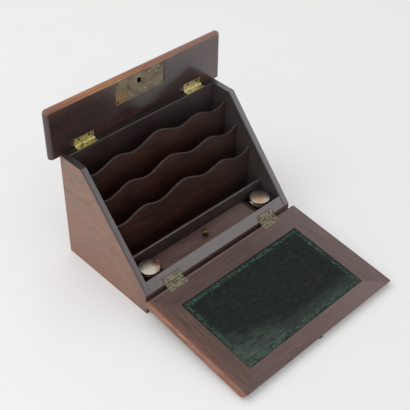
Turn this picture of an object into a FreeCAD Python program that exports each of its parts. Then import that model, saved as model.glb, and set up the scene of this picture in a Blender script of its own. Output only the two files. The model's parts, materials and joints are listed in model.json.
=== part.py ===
import FreeCAD, Part
import os
import re

import Sketcher

# Writing box with a sloping fall that opens flat on the table, a hinged lid, scalloped
# letter dividers, a covered pen tray and two capped inkwells.
# Millimetres. The origin is the middle of the case's footprint on the table: +X to the
# right, +Y to the back, +Z up. The box stands open: the lid upright, the fall laid down.

doc = FreeCAD.newDocument("WritingBox")

drivingSizes = [
    ("case_width", "320", "case, outside width"),
    ("case_depth", "192", "case, outside depth"),
    ("case_height", "198", "case, height at the back"),
    ("top_depth", "51", "level top, from the knee to the back"),
    ("front_height", "37.5", "upright front, below the slope"),
    ("side_thick", "11.5", "side boards"),
    ("front_thick", "13", "front board"),
    ("back_thick", "12", "back panel"),
    ("back_housing", "5", "depth of the rebate that holds the back panel"),
    ("base_thick", "8", "base board"),
    ("divider_thick", "4", "letter dividers and pen partition"),
    ("divider_housing", "2", "depth of the grooves that hold them"),
    ("rear_slot", "27", "clear width behind the rear divider"),
    ("second_slot", "25", "clear width before the rear divider"),
    ("third_slot", "27.5", "clear width before the middle divider"),
    ("rear_below", "11", "rear divider, its middle hump below the level top"),
    ("middle_below", "22.4", "middle divider, its middle hump below the slope"),
    ("low_below", "16.5", "front divider, its middle hump below the slope"),
    ("dip_place", "52", "scallop, first dip from the middle"),
    ("dip_drop", "15", "scallop, first dip below the hump"),
    ("shoulder_place", "82", "scallop, side hump from the middle"),
    ("shoulder_drop", "7", "scallop, side hump below the middle one"),
    ("low_place", "117", "scallop, outer dip from the middle"),
    ("low_drop", "18", "scallop, outer dip below the hump"),
    ("wall_drop", "10.5", "scallop, at the wall below the hump"),
    ("partition_top", "62", "pen partition, height"),
    ("well_play", "0.45", "play beside an ink bottle in its well"),
    ("well_top", "40", "inkwell partitions, height"),
    ("well_thick", "3", "inkwell partitions"),
    ("lining_thick", "7", "lining strip between well and side"),
    ("cover_thick", "4", "pen cover"),
    ("cover_top", "38", "pen cover, height of its face"),
    ("cover_gap", "0.5", "play round the pen cover"),
    ("ledge_wide", "4", "ledges under the pen cover"),
    ("ledge_deep", "5", "ledges under the pen cover, height"),
    ("knob_radius", "6", "knob head"),
    ("knob_tall", "13", "knob, whole height"),
    ("knob_place", "25", "knob, from the front board's inner face"),
    ("knob_neck", "2.5", "knob, radius of its neck"),
    ("knob_foot", "4.5", "knob, radius of its foot"),
    ("knob_foot_tall", "1.5", "knob, height of its foot"),
    ("knob_head_half", "3.6", "knob, half height of its head"),
    ("knob_bolt", "1.4", "knob screw, radius"),
    ("knob_bolt_head", "3.2", "knob screw, radius of its head"),
    ("knob_bolt_head_tall", "1.4", "knob screw, height of its head"),
    ("knob_bolt_grip", "4", "knob screw, length in the knob"),
    ("bottle_wide", "35.6", "ink bottle, width"),
    ("bottle_deep", "42", "ink bottle, depth"),
    ("bottle_tall", "31", "ink bottle, height of its shoulder"),
    ("bottle_wall", "3", "ink bottle, glass"),
    ("bottle_round", "4", "ink bottle, corners"),
    ("bottle_gap", "0.4", "play between bottle and front board"),
    ("bottle_back", "2.6", "space between bottle and pen partition"),
    ("neck_radius", "13.5", "ink bottle, outside of its neck"),
    ("neck_tall", "7.8", "ink bottle, neck above the shoulder"),
    ("mouth_radius", "10.5", "ink bottle, mouth"),
    ("collar_radius", "17.25", "inkwell collar and cap"),
    ("collar_tall", "6.6", "inkwell collar"),
    ("collar_low", "2", "inkwell collar above the bottle's shoulder"),
    ("cap_gap", "0.4", "gap between collar and cap"),
    ("cap_tall", "6", "inkwell cap"),
    ("cap_round", "1.8", "inkwell cap, rounded rim"),
    ("seal_radius", "12", "cap seal"),
    ("seal_thick", "1.6", "cap seal"),
    ("seal_sunk", "0.8", "cap seal, depth held in the cap"),
    ("cap_pin_out", "2.2", "cap hinge pin, from the cap's rim"),
    ("cap_pin_up", "0.6", "cap hinge pin, above the cap's underside"),
    ("cap_pin", "0.7", "cap hinge pin, radius"),
    ("cap_pin_play", "0.05", "cap hinge pin, running clearance"),
    ("cap_knuckle", "1.4", "cap hinge knuckles, radius"),
    ("cap_knuckle_half", "2", "cap hinge, half length of the middle knuckle"),
    ("cap_knuckle_end", "4.7", "cap hinge, half length over all"),
    ("cap_knuckle_gap", "0.2", "cap hinge, end play"),
    ("lid_overhang", "16", "lid, past the case at each end"),
    ("lid_front", "31.4", "closed lid, forward of the knee"),
    ("lid_behind", "4.3", "lid, behind its pins"),
    ("lid_thick", "12.5", "lid, thickness"),
    ("lid_bull", "6", "lid, rounded edges"),
    ("lid_corner", "7", "lid, corners in plan"),
    ("lid_open", "90", "lid, opening on its stop"),
    ("fall_overhang", "7.5", "fall, past the case at each end"),
    ("fall_thick", "12", "fall, thickness"),
    ("fall_edge", "4", "fall, from its pins to its hinge edge"),
    ("fall_bull", "5.9", "fall, rounded ends"),
    ("fall_end_gap", "0.4", "closed fall, below the lid's seat"),
    ("table_gap", "0.1", "open fall, its lowest arris above the table"),
    ("pin_drop", "3.5", "fall pins, down the slope from the front's arris"),
    ("pin_proud", "0.3", "all hinge pins, proud of the case's faces"),
    ("band_end", "6", "fall's rounded ends, beyond its border"),
    ("band_thick", "1.4", "fall border, thickness"),
    ("border_side", "34", "border beside the green inset"),
    ("border_hinge", "37", "border between the hinges' edge and the green inset"),
    ("border_free", "29.3", "border between the green inset and the free edge"),
    ("leather_gap", "0.4", "gap round the green inset"),
    ("leather_thick", "1", "green inset, thickness"),
    ("leaf_thick", "1.4", "hinge leaves"),
    ("knuckle_radius", "2.4", "hinge knuckles"),
    ("knuckle_play", "0.3", "clearance round the knuckles"),
    ("knuckle_gap", "0.25", "end play between knuckles"),
    ("hinge_pin", "0.9", "hinge pins, radius"),
    ("hinge_play", "0.05", "hinge pins, running clearance"),
    ("fall_hinge_inset", "55.5", "fall hinges, their middle from the case's side"),
    ("fall_hinge_long", "35", "fall hinges, length"),
    ("fall_leaf_reach", "13", "fall hinge leaves, from the pin"),
    ("fall_screw_reach", "8.6", "fall hinge screws, from the pin"),
    ("fall_screw_spread", "9.5", "fall hinge screws, from the hinge's middle"),
    ("lid_hinge_inset", "47.5", "lid hinges, their middle from the case's side"),
    ("lid_hinge_long", "38", "lid hinges, length"),
    ("top_leaf_reach", "10.5", "lid hinges, case leaf from the pin"),
    ("top_screw_reach", "6.6", "lid hinges, case screws from the pin"),
    ("lid_leaf_reach", "13.5", "lid hinges, lid leaf from the pin"),
    ("lid_screw_reach", "9.5", "lid hinges, lid screws from the pin"),
    ("lid_screw_spread", "9.8", "lid hinge screws, from the hinge's middle"),
    ("screw_head", "2.6", "screws, head radius"),
    ("screw_shank", "1.2", "screws, shank radius"),
    ("screw_depth", "7", "screws, length in the wood"),
    ("plate_shift", "1", "lock plate, middle from the lid's middle"),
    ("plate_half", "48.5", "lock plate, half width"),
    ("plate_near", "36", "lock plate, nearest edge from the pins"),
    ("plate_far", "76.5", "lock plate, farthest edge from the pins"),
    ("plate_thick", "1.2", "lock plate"),
    ("hatch_half", "3.9", "stud hole in the lock plate, half width"),
    ("hatch_near", "59", "stud hole, nearest edge from the pins"),
    ("hatch_far", "67.4", "stud hole, farthest edge from the pins"),
    ("works_left", "-9", "lock case, left edge"),
    ("works_right", "42", "lock case, right edge"),
    ("works_near", "48", "lock case, nearest edge from the pins"),
    ("works_far", "74", "lock case, farthest edge from the pins"),
    ("works_deep", "7.5", "lock case, depth above the plate"),
    ("works_wall", "0.8", "lock case, walls"),
    ("bolt_left", "4.8", "lock bolt, nose when drawn"),
    ("bolt_long", "31", "lock bolt, length"),
    ("bolt_near", "61", "lock bolt, nearest edge from the pins"),
    ("bolt_wide", "8", "lock bolt, width"),
    ("bolt_lift", "0.3", "lock bolt, clear of the plate"),
    ("bolt_thick", "1.6", "lock bolt, thickness"),
    ("talon_radius", "2.5", "lock bolt, notch for the key"),
    ("key_place", "26", "key pin, from the middle"),
    ("key_reach", "54.5", "key pin, from the lid's pins"),
    ("key_pin", "0.9", "key pin, radius"),
    ("key_pin_long", "10", "key pin, length"),
    ("key_hole", "2.4", "keyhole, radius"),
    ("escutcheon_radius", "6", "keyhole plate, radius"),
    ("escutcheon_thick", "0.8", "keyhole plate, thickness"),
    ("spring_thick", "0.6", "lock spring, thickness"),
    ("spring_gap", "0.4", "lock spring, clear of the bolt"),
    ("spring_left", "12", "lock spring, free end"),
    ("spring_bend", "30", "lock spring, its bend"),
    ("spring_right", "36", "lock spring, fixed end"),
    ("spring_wide", "1.8", "lock spring, width"),
    ("rivet_radius", "0.9", "lock rivets"),
    ("rivet_proud", "0.2", "lock rivets, proud of the plate"),
    ("plate_screw_in", "4", "lock plate screws, from its edges"),
    ("stud_half", "3.5", "lock stud, half width"),
    ("stud_thick", "4", "lock stud, thickness"),
    ("stud_tall", "5", "lock stud, height"),
    ("stud_round", "1.8", "lock stud, rounded top"),
    ("stud_back", "10", "lock stud, from the knee"),
    ("stud_root", "1.5", "lock stud, radius of its root"),
    ("stud_root_long", "4", "lock stud, depth of its root"),
    ("notch_low", "1.9", "lock stud, underside of its notch"),
    ("notch_tall", "2.2", "lock stud, height of its notch"),
    ("notch_deep", "3.2", "lock stud, depth of its notch"),
]

workedPlaces = [
    ("front_y", "-case_depth / 2", "front face of the case"),
    ("back_y", "case_depth / 2", "back face of the case"),
    ("knee_y", "case_depth / 2 - top_depth", "where the slope meets the level top"),
    ("inner_half", "case_width / 2 - side_thick", "half the inside width"),
    ("back_inner", "case_depth / 2 - back_thick", "inner face of the back panel"),
    ("front_inner", "front_thick - case_depth / 2", "inner face of the front board"),
    ("rear_y", "back_inner - rear_slot - divider_thick / 2", "rear divider"),
    ("middle_y", "rear_y - second_slot - divider_thick", "middle divider"),
    ("low_y", "middle_y - third_slot - divider_thick", "front divider"),
    ("tray_back", "front_inner + bottle_gap + bottle_deep + bottle_back", "pen partition's front face"),
    ("partition_y", "tray_back + divider_thick / 2", "pen partition"),
    ("slope_angle", "atan((case_height - front_height) / (case_depth - top_depth))", "slope"),
    ("slope_rise", "tan(slope_angle)", "slope, rise for each step back"),
    ("rear_top", "case_height - rear_below", "rear divider, height of its middle hump"),
    ("middle_top", "front_height + (middle_y - front_y) * slope_rise - middle_below", "middle divider"),
    ("low_top", "front_height + (low_y - front_y) * slope_rise - low_below", "front divider"),
    ("fall_pin_y", "front_y - pin_drop * cos(slope_angle) - pin_proud * sin(slope_angle)", "fall pins"),
    (
        "fall_pin_z",
        "front_height - pin_drop * sin(slope_angle) + pin_proud * cos(slope_angle)",
        "fall pins",
    ),
    ("lid_pin_y", "back_y + pin_proud", "lid pins"),
    ("lid_pin_z", "case_height + pin_proud", "lid pins"),
    ("lid_turn", "-lid_open * 1 deg", "lid, turn from closed"),
    ("lid_width", "case_width + 2 * lid_overhang", "lid, width"),
    ("lid_reach", "top_depth + pin_proud + lid_front", "lid, from its pins to its free edge"),
    ("fall_width", "case_width + 2 * fall_overhang", "fall, width"),
    ("band_half", "fall_width / 2 - band_end", "fall border, half width outside"),
    ("lid_hinge_place", "case_width / 2 - lid_hinge_inset", "lid hinges, from the middle"),
    ("fall_hinge_place", "case_width / 2 - fall_hinge_inset", "fall hinges, from the middle"),
    ("bevel_up", "case_height - fall_end_gap - fall_pin_z", "closed fall's level end above its pins"),
    ("fall_reach", "bevel_up / sin(slope_angle)", "fall, upper arris from its pins"),
    ("under_reach", "fall_reach - fall_thick / slope_rise", "fall, lower arris from its pins"),
    ("under_radius", "sqrt(under_reach ^ 2 + fall_thick ^ 2)", "lower arris, straight from the pins"),
    (
        "fall_dip",
        "asin((fall_pin_z - table_gap) / under_radius) - atan(fall_thick / under_reach)",
        "open fall, dip below level",
    ),
    ("bevel_turn", "180 deg - slope_angle", "the fall's bevel, turned from its face"),
    ("fall_swing", "180 deg - slope_angle + fall_dip", "fall, swing from closed to open"),
    ("leather_half", "band_half - border_side", "green inset, half width"),
    ("leather_near", "fall_edge + border_hinge", "green inset, nearest edge from the pins"),
    ("leather_far", "fall_reach - border_free", "green inset, farthest edge from the pins"),
    ("well_clear", "bottle_wide + 2 * well_play", "inkwell well, clear width"),
    ("well_inner", "inner_half - lining_thick - well_clear", "well partition's outer face"),
    ("tray_half", "well_inner - well_thick", "half width of the pen tray"),
    ("cap_x", "inner_half - lining_thick - well_clear / 2", "middle of an inkwell"),
    ("cap_y", "front_inner + bottle_gap + bottle_deep / 2", "middle of an inkwell"),
    ("shoulder_z", "base_thick + bottle_tall", "bottle's shoulder"),
    ("collar_z", "shoulder_z + collar_low", "underside of the collar"),
    ("cap_z", "collar_z + collar_tall + cap_gap", "underside of the cap"),
    ("cap_pin_x", "cap_x - collar_radius - cap_pin_out", "cap hinge pin"),
    ("cap_pin_z", "cap_z + cap_pin_up", "cap hinge pin"),
    ("notch_radius", "knuckle_radius + knuckle_play", "notches for the knuckles"),
    ("leaf_low", "-pin_proud - leaf_thick", "case leaves, underside from the pin"),
    ("works_top", "plate_thick + works_deep", "outer face of the lock case"),
    ("stud_y", "knee_y - stud_back - fall_pin_y", "closed stud from the fall's pins"),
]

homes = {}
pieces = []


def fillSheet(name, rows, lead=""):
    sheet = doc.addObject("Spreadsheet::Sheet", name)
    for row, (alias, content, note) in enumerate(rows, start=1):
        homes[alias] = name
        sheet.set("A%d" % row, note)
        sheet.setAlias("B%d" % row, alias)
        sheet.set("B%d" % row, lead + (bound(content, name) if lead else content))
    return sheet


def bound(text, own=None):
    # Writes each size's name with the sheet that holds it.
    def named(match):
        word = match.group(0)
        if word not in homes or homes[word] == own:
            return word
        return "%s.%s" % (homes[word], word)

    return re.sub(r"[a-z_]+", named, str(text))


sizes = fillSheet("Sizes", drivingSizes)
places = fillSheet("Places", workedPlaces, "=")
doc.recompute()


def worth(text):
    # What sizes and places work out to, as a plain number in millimetres or degrees.
    value = places.evalExpression(bound(text))
    return float(getattr(value, "Value", value))


# A frame is a place (y, z) and a turn about X. Leaves and lids lie along their frame's -Y.
frames = {
    "case": ("0", "0", None),
    "slope": ("fall_pin_y", "fall_pin_z", "slope_angle"),
    "fall": ("fall_pin_y", "fall_pin_z", "fall_dip"),
    "closed_fall": ("fall_pin_y", "fall_pin_z", "fall_swing"),
    "top": ("lid_pin_y", "lid_pin_z", None),
    "lid": ("lid_pin_y", "lid_pin_z", "lid_turn"),
    "bevel": ("0", "0", "bevel_turn"),
}
turnAxis = FreeCAD.Vector(1, 0, 0)
lieAlongX = FreeCAD.Rotation(FreeCAD.Vector(0, 1, 0), 90)
lieAlongY = FreeCAD.Rotation(FreeCAD.Vector(1, 0, 0), -90)


def setPlace(thing, x, y, z, frame="case", lie=None):
    # Puts a feature at (x, y, z) of a frame, turned with it, or lying along X or Y.
    originY, originZ, turn = frames[frame]
    if turn is None:
        placeY = "(%s) + (%s)" % (originY, y)
        placeZ = "(%s) + (%s)" % (originZ, z)
    else:
        placeY = "(%s) + (%s) * cos(%s) - (%s) * sin(%s)" % (originY, y, turn, z, turn)
        placeZ = "(%s) + (%s) * sin(%s) + (%s) * cos(%s)" % (originZ, y, turn, z, turn)
    start = lie or FreeCAD.Rotation(turnAxis, 0 if turn is None else 30)
    thing.Placement = FreeCAD.Placement(FreeCAD.Vector(), start)
    thing.setExpression("Placement.Base.x", bound(x))
    thing.setExpression("Placement.Base.y", bound(placeY))
    thing.setExpression("Placement.Base.z", bound(placeZ))
    if turn is not None and lie is None:
        thing.setExpression("Placement.Rotation.Angle", bound(turn))


def setSizes(thing, **expressions):
    for prop, text in expressions.items():
        thing.setExpression(prop, bound(text))


def keep(piece, label):
    piece.Label = label
    pieces.append(piece)
    return piece


def newBody(label, frame="case", x="0"):
    body = keep(doc.addObject("PartDesign::Body", label), label)
    setPlace(body, x, "0", "0", frame)
    return body


def block(body, how, x, y, z, frame="case"):
    # A box between pairs of coordinates, added to the body or cut from it.
    made = body.newObject("PartDesign::%sBox" % how, body.Label + "_block")
    spans = ["(%s) - (%s)" % (high, low) for low, high in (x, y, z)]
    setSizes(made, Length=spans[0], Width=spans[1], Height=spans[2])
    setPlace(made, x[0], y[0], z[0], frame)
    return made


def rod(body, how, radius, along, span, first, second, frame="case"):
    # A cylinder along one axis: its radius, its span and where its axis crosses the other two.
    made = body.newObject("PartDesign::%sCylinder" % how, body.Label + "_rod")
    setSizes(made, Radius=radius, Height="(%s) - (%s)" % (span[1], span[0]))
    if along == "x":
        setPlace(made, span[0], first, second, frame, lieAlongX)
    elif along == "y":
        setPlace(made, first, span[0], second, frame, lieAlongY)
    else:
        setPlace(made, first, second, span[0], frame)
    return made


def add(body, x, y, z, frame="case"):
    return block(body, "Additive", x, y, z, frame)


def cut(body, x, y, z, frame="case"):
    return block(body, "Subtractive", x, y, z, frame)


def bore(body, radius, z, x, y, frame="case"):
    return rod(body, "Subtractive", radius, "z", z, x, y, frame)


def countersink(body, x, y, low, headUp):
    # A conical hole as deep as a leaf, as wide as a screw's head at one end and its shank at the other.
    made = body.newObject("PartDesign::SubtractiveCone", body.Label + "_sink")
    wide, narrow = ("Radius2", "Radius1") if headUp else ("Radius1", "Radius2")
    setSizes(made, Height="leaf_thick", **{wide: "screw_head", narrow: "screw_shank"})
    setPlace(made, x, y, low)
    return made


def outline(body, role, points):
    # A closed polygon on one of the body's own planes, each corner held by two sizes.
    sketch = body.newObject("Sketcher::SketchObject", body.Label + "_outline")
    plane = [item for item in body.Origin.OriginFeatures if item.Role == role][0]
    sketch.AttachmentSupport = [(plane, "")]
    sketch.MapMode = "FlatFace"
    seeds = [FreeCAD.Vector(worth(across), worth(up), 0) for across, up in points]
    count = len(points)
    for begin, end in zip(seeds, seeds[1:] + seeds[:1]):
        sketch.addGeometry(Part.LineSegment(begin, end), False)
    for index in range(count):
        sketch.addConstraint(Sketcher.Constraint("Coincident", index, 2, (index + 1) % count, 1))
    for index, point in enumerate(points):
        for kind, part in (("DistanceX", 0), ("DistanceY", 1)):
            rule = Sketcher.Constraint(kind, -1, 1, index, 1, seeds[index][part])
            number = sketch.addConstraint(rule)
            sketch.setExpression("Constraints[%d]" % number, bound(point[part]))
    return sketch


def pad(body, sketch, length, midplane=False, turned=False):
    made = body.newObject("PartDesign::Pad", body.Label + "_pad")
    made.Profile = sketch
    setSizes(made, Length=length)
    if midplane:
        made.SideType = "Symmetric"
    made.Reversed = turned
    sketch.Visibility = False
    return made


def roundEdges(body, radius, wanted):
    # Fillets the edges of the body's last feature whose middle point passes the test.
    doc.recompute()
    last = body.Tip
    names = [
        "Edge%d" % (number + 1)
        for number, edge in enumerate(last.Shape.Edges)
        if wanted(edge.CenterOfMass, edge)
    ]
    made = body.newObject("PartDesign::Fillet", body.Label + "_round")
    made.Base = (last, names)
    setSizes(made, Radius=radius)
    body.Tip = made
    return made


def runsAlong(edge, axis):
    if not isinstance(edge.Curve, Part.Line):
        return False
    return abs(getattr(edge.Curve.Direction, axis)) > alongside


near = 0.01
alongside = 0.999
sides = (("left", -1), ("right", 1))


def mirrored(side, low, high):
    # A span on the right, or its mirror image on the left.
    return (low, high) if side > 0 else ("-(%s)" % high, "-(%s)" % low)


# The case


def makeSide(name, side):
    left = "-case_width / 2" if side < 0 else "inner_half"
    body = newBody("side_" + name, x=left)
    corners = [
        ("front_y", "0"),
        ("back_y", "0"),
        ("back_y", "case_height"),
        ("knee_y", "case_height"),
        ("front_y", "front_height"),
    ]
    pad(body, outline(body, "YZ_Plane", corners), "side_thick")

    def sunk(depth):
        if side < 0:
            return ("side_thick - " + depth, "side_thick")
        return ("0", depth)

    rebate = ("back_inner", "back_y")
    cut(body, sunk("back_housing"), rebate, ("0", "case_height"))
    for where, top in dividerPlaces:
        groove = ("%s - divider_thick / 2" % where, "%s + divider_thick / 2" % where)
        cut(body, sunk("divider_housing"), groove, ("base_thick", top))


casePilot = ("leaf_low - screw_depth", "leaf_low")
dividerPlaces = [
    ("rear_y", "rear_top - wall_drop"),
    ("middle_y", "middle_top - wall_drop"),
    ("low_y", "low_top - wall_drop"),
    ("partition_y", "partition_top"),
]


def makeBack():
    body = newBody("back_panel")
    wide = ("-inner_half - back_housing", "inner_half + back_housing")
    add(body, wide, ("back_inner", "back_y"), ("0", "case_height"))
    for name, side in sides:
        long = hingeSpan(side, "lid")
        seat = ("-top_leaf_reach", "notch_radius")
        cut(body, long, seat, ("leaf_low", "leaf_thick"), "top")
        rod(body, "Subtractive", "notch_radius", "x", long, "0", "0", "top")
        for x in screwPlaces(side, "lid"):
            bore(body, "screw_shank", casePilot, x, "-top_screw_reach", "top")


def makeFront():
    body = newBody("front_board")
    corners = [
        ("front_y", "0"),
        ("front_inner", "0"),
        ("front_inner", "front_height + front_thick * slope_rise"),
        ("front_y", "front_height"),
    ]
    pad(body, outline(body, "YZ_Plane", corners), "2 * inner_half", midplane=True)
    for name, side in sides:
        long = hingeSpan(side, "fall")
        seat = ("-notch_radius", "fall_leaf_reach")
        cut(body, long, seat, ("leaf_low", "notch_radius"), "slope")
        rod(body, "Subtractive", "notch_radius", "x", long, "0", "0", "slope")
        for x in screwPlaces(side, "fall"):
            bore(body, "screw_shank", casePilot, x, "fall_screw_reach", "slope")


def makeBase():
    body = newBody("base_board")
    wide = ("-inner_half", "inner_half")
    add(body, wide, ("front_inner", "back_inner"), ("0", "base_thick"))


def makeDivider(label, where, top):
    # A thin board with a scalloped top: a hump in the middle and a lower one at each side.
    low = worth("base_thick")
    crest = worth(top)
    end = worth("inner_half") + worth("divider_housing")
    wall = worth("inner_half")
    half = [
        (worth("dip_place"), crest - worth("dip_drop")),
        (worth("shoulder_place"), crest - worth("shoulder_drop")),
        (worth("low_place"), crest - worth("low_drop")),
        (wall, crest - worth("wall_drop")),
    ]
    spots = [(-x, z) for x, z in reversed(half)] + [(0, crest)] + half
    curve = Part.BSplineCurve()
    curve.interpolate([FreeCAD.Vector(x, 0, z) for x, z in spots])
    wallTop = crest - worth("wall_drop")
    right = [(wall, wallTop), (end, wallTop), (end, low)]
    left = [(-end, low), (-end, wallTop), (-wall, wallTop)]
    points = [FreeCAD.Vector(x, 0, z) for x, z in right + left]
    edges = [Part.LineSegment(begin, finish).toShape() for begin, finish in zip(points, points[1:])]
    thick = worth("divider_thick")
    face = Part.Face(Part.Wire(Part.__sortEdges__([curve.toShape()] + edges)))
    divider = keep(doc.addObject("Part::Feature", label), label)
    divider.Shape = face.extrude(FreeCAD.Vector(0, thick, 0))
    start = FreeCAD.Vector(0, worth(where) - thick / 2, 0)
    divider.Placement = FreeCAD.Placement(start, FreeCAD.Rotation())


def makePenPartition():
    body = newBody("pen_partition")
    wide = ("-inner_half - divider_housing", "inner_half + divider_housing")
    deep = ("tray_back", "partition_y + divider_thick / 2")
    add(body, wide, deep, ("base_thick", "partition_top"))


def makeWell(name, side):
    partition = newBody("inkwell_partition_" + name)
    deep = ("front_inner", "tray_back")
    wide = mirrored(side, "tray_half", "well_inner")
    add(partition, wide, deep, ("base_thick", "well_top"))
    lining = newBody("well_lining_" + name)
    wide = mirrored(side, "inner_half - lining_thick", "inner_half")
    add(lining, wide, deep, ("base_thick", "well_top"))
    ledge = newBody("cover_ledge_" + name)
    wide = mirrored(side, "tray_half - ledge_wide", "tray_half")
    top = "cover_top - cover_thick"
    add(ledge, wide, deep, (top + " - ledge_deep", top))


# The pen cover, which lifts out by its knob


def makeCover():
    body = newBody("pen_cover")
    wide = ("cover_gap - tray_half", "tray_half - cover_gap")
    deep = ("front_inner + cover_gap", "tray_back - cover_gap")
    under = "cover_top - cover_thick"
    add(body, wide, deep, (under, "cover_top"))
    knobY = "front_inner + knob_place"
    bore(body, "knob_bolt", (under, "cover_top"), "0", knobY)
    knob = newBody("cover_knob")
    foot = ("cover_top", "cover_top + knob_foot_tall")
    rod(knob, "Additive", "knob_foot", "z", foot, "0", knobY)
    head = "cover_top + knob_tall - knob_head_half"
    rod(knob, "Additive", "knob_neck", "z", ("cover_top", head), "0", knobY)
    ball = knob.newObject("PartDesign::AdditiveEllipsoid", "cover_knob_head")
    setSizes(ball, Radius1="knob_head_half", Radius2="knob_radius", Radius3="knob_radius")
    setPlace(ball, "0", knobY, head)
    bore(knob, "knob_bolt", ("cover_top", "cover_top + knob_bolt_grip"), "0", knobY)
    screw = newBody("knob_screw")
    flat = (under + " - knob_bolt_head_tall", under)
    rod(screw, "Additive", "knob_bolt_head", "z", flat, "0", knobY)
    rod(screw, "Additive", "knob_bolt", "z", (under, "cover_top + knob_bolt_grip"), "0", knobY)


# The inkwells: a square bottle with a hinged cap, left and right


def makeBottle(name, side, x):
    body = newBody("ink_bottle_" + name)
    wide = ("%s - bottle_wide / 2" % x, "%s + bottle_wide / 2" % x)
    deep = ("cap_y - bottle_deep / 2", "cap_y + bottle_deep / 2")
    add(body, wide, deep, ("base_thick", "shoulder_z"))
    roundEdges(body, "bottle_round", lambda middle, edge: runsAlong(edge, "z"))
    rim = "shoulder_z + neck_tall"
    rod(body, "Additive", "neck_radius", "z", ("shoulder_z - bottle_wall / 2", rim), x, "cap_y")
    wide = (wide[0] + " + bottle_wall", wide[1] + " - bottle_wall")
    deep = (deep[0] + " + bottle_wall", deep[1] + " - bottle_wall")
    inside = ("base_thick + bottle_wall", "shoulder_z - bottle_wall")
    cut(body, wide, deep, inside)
    bore(body, "mouth_radius", ("shoulder_z - bottle_wall", rim), x, "cap_y")


def makeCollar(name, side, x, pinX):
    body = newBody("ink_collar_" + name)
    top = "collar_z + collar_tall"
    rod(body, "Additive", "collar_radius", "z", ("collar_z", top), x, "cap_y")
    ends = [
        ("cap_y - cap_knuckle_end", "cap_y - cap_knuckle_half - cap_knuckle_gap"),
        ("cap_y + cap_knuckle_half + cap_knuckle_gap", "cap_y + cap_knuckle_end"),
    ]
    tongue = mirrored(side, "cap_pin_x", "cap_x - collar_radius + cap_pin_out")
    for end in ends:
        add(body, tongue, end, ("cap_pin_z - cap_knuckle", top))
        rod(body, "Additive", "cap_knuckle", "y", end, pinX, "cap_pin_z")
    bore(body, "neck_radius", ("collar_z", top), x, "cap_y")
    whole = ("cap_y - cap_knuckle_end", "cap_y + cap_knuckle_end")
    rod(body, "Subtractive", "cap_pin", "y", whole, pinX, "cap_pin_z")
    pin = newBody("ink_cap_pin_" + name)
    rod(pin, "Additive", "cap_pin", "y", whole, pinX, "cap_pin_z")


def makeCap(name, side, x, pinX):
    body = newBody("ink_cap_" + name)
    rod(body, "Additive", "collar_radius", "z", ("cap_z", "cap_z + cap_tall"), x, "cap_y")
    top = worth("cap_z") + worth("cap_tall")
    roundEdges(body, "cap_round", lambda middle, edge: abs(middle.z - top) < near)
    tongue = mirrored(side, "cap_pin_x", "cap_x - collar_radius + cap_pin_out")
    middle = ("cap_y - cap_knuckle_half", "cap_y + cap_knuckle_half")
    add(body, tongue, middle, ("cap_z", "cap_pin_z + cap_knuckle"))
    rod(body, "Additive", "cap_knuckle", "y", middle, pinX, "cap_pin_z")
    bore(body, "seal_radius", ("cap_z", "cap_z + seal_sunk"), x, "cap_y")
    rod(body, "Subtractive", "cap_pin + cap_pin_play", "y", middle, pinX, "cap_pin_z")
    seal = newBody("ink_cap_seal_" + name)
    held = ("cap_z + seal_sunk - seal_thick", "cap_z + seal_sunk")
    rod(seal, "Additive", "seal_radius", "z", held, x, "cap_y")


# Hinges: two leaves with five knuckles between them, on one pin


def hingeSpan(side, which):
    middle = "%d * %s_hinge_place" % (side, which)
    half = "%s_hinge_long / 2" % which
    return ("%s - %s" % (middle, half), "%s + %s" % (middle, half))


def screwPlaces(side, which):
    middle = "%d * %s_hinge_place" % (side, which)
    return ["%s %s %s_screw_spread" % (middle, sign, which) for sign in ("-", "+")]


# Each hinge: where its case leaf lies and which way it runs, how far the leaves and their
# screws are from the pin, the moving leaf's two faces, and whether its screws face up.
hinges = {
    "fall": {
        "caseFrame": "slope",
        "caseWay": 1,
        "caseReach": "fall_leaf_reach",
        "caseScrew": "fall_screw_reach",
        "leafReach": "fall_leaf_reach",
        "leafScrew": "fall_screw_reach",
        "leafFaces": ("-leaf_thick", "0"),
        "headUp": True,
    },
    "lid": {
        "caseFrame": "top",
        "caseWay": -1,
        "caseReach": "top_leaf_reach",
        "caseScrew": "top_screw_reach",
        "leafReach": "lid_leaf_reach",
        "leafScrew": "lid_screw_reach",
        "leafFaces": ("0", "leaf_thick"),
        "headUp": False,
    },
}
knuckleCount = 5


def makeLeaf(label, frame, side, which, reach, way, faces, knuckles, boreRadius):
    # way is +1 or -1, as the plate runs from the pin; faces are its lower and upper face.
    body = newBody(label, frame)
    span = hingeSpan(side, which)
    plate = ("-" + reach, "-notch_radius") if way < 0 else ("notch_radius", reach)
    tongue = ("-notch_radius", "0") if way < 0 else ("0", "notch_radius")
    add(body, span, plate, faces)
    step = "%s_hinge_long / %d" % (which, knuckleCount)
    for number in knuckles:
        before = "0" if number == 0 else "knuckle_gap / 2"
        after = "0" if number == knuckleCount - 1 else "knuckle_gap / 2"
        start = "%s + %d * %s + %s" % (span[0], number, step, before)
        finish = "%s + %d * %s - %s" % (span[0], number + 1, step, after)
        add(body, (start, finish), tongue, faces)
        rod(body, "Additive", "knuckle_radius", "x", (start, finish), "0", "0")
    rod(body, "Subtractive", boreRadius, "x", span, "0", "0")
    return body


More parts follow.
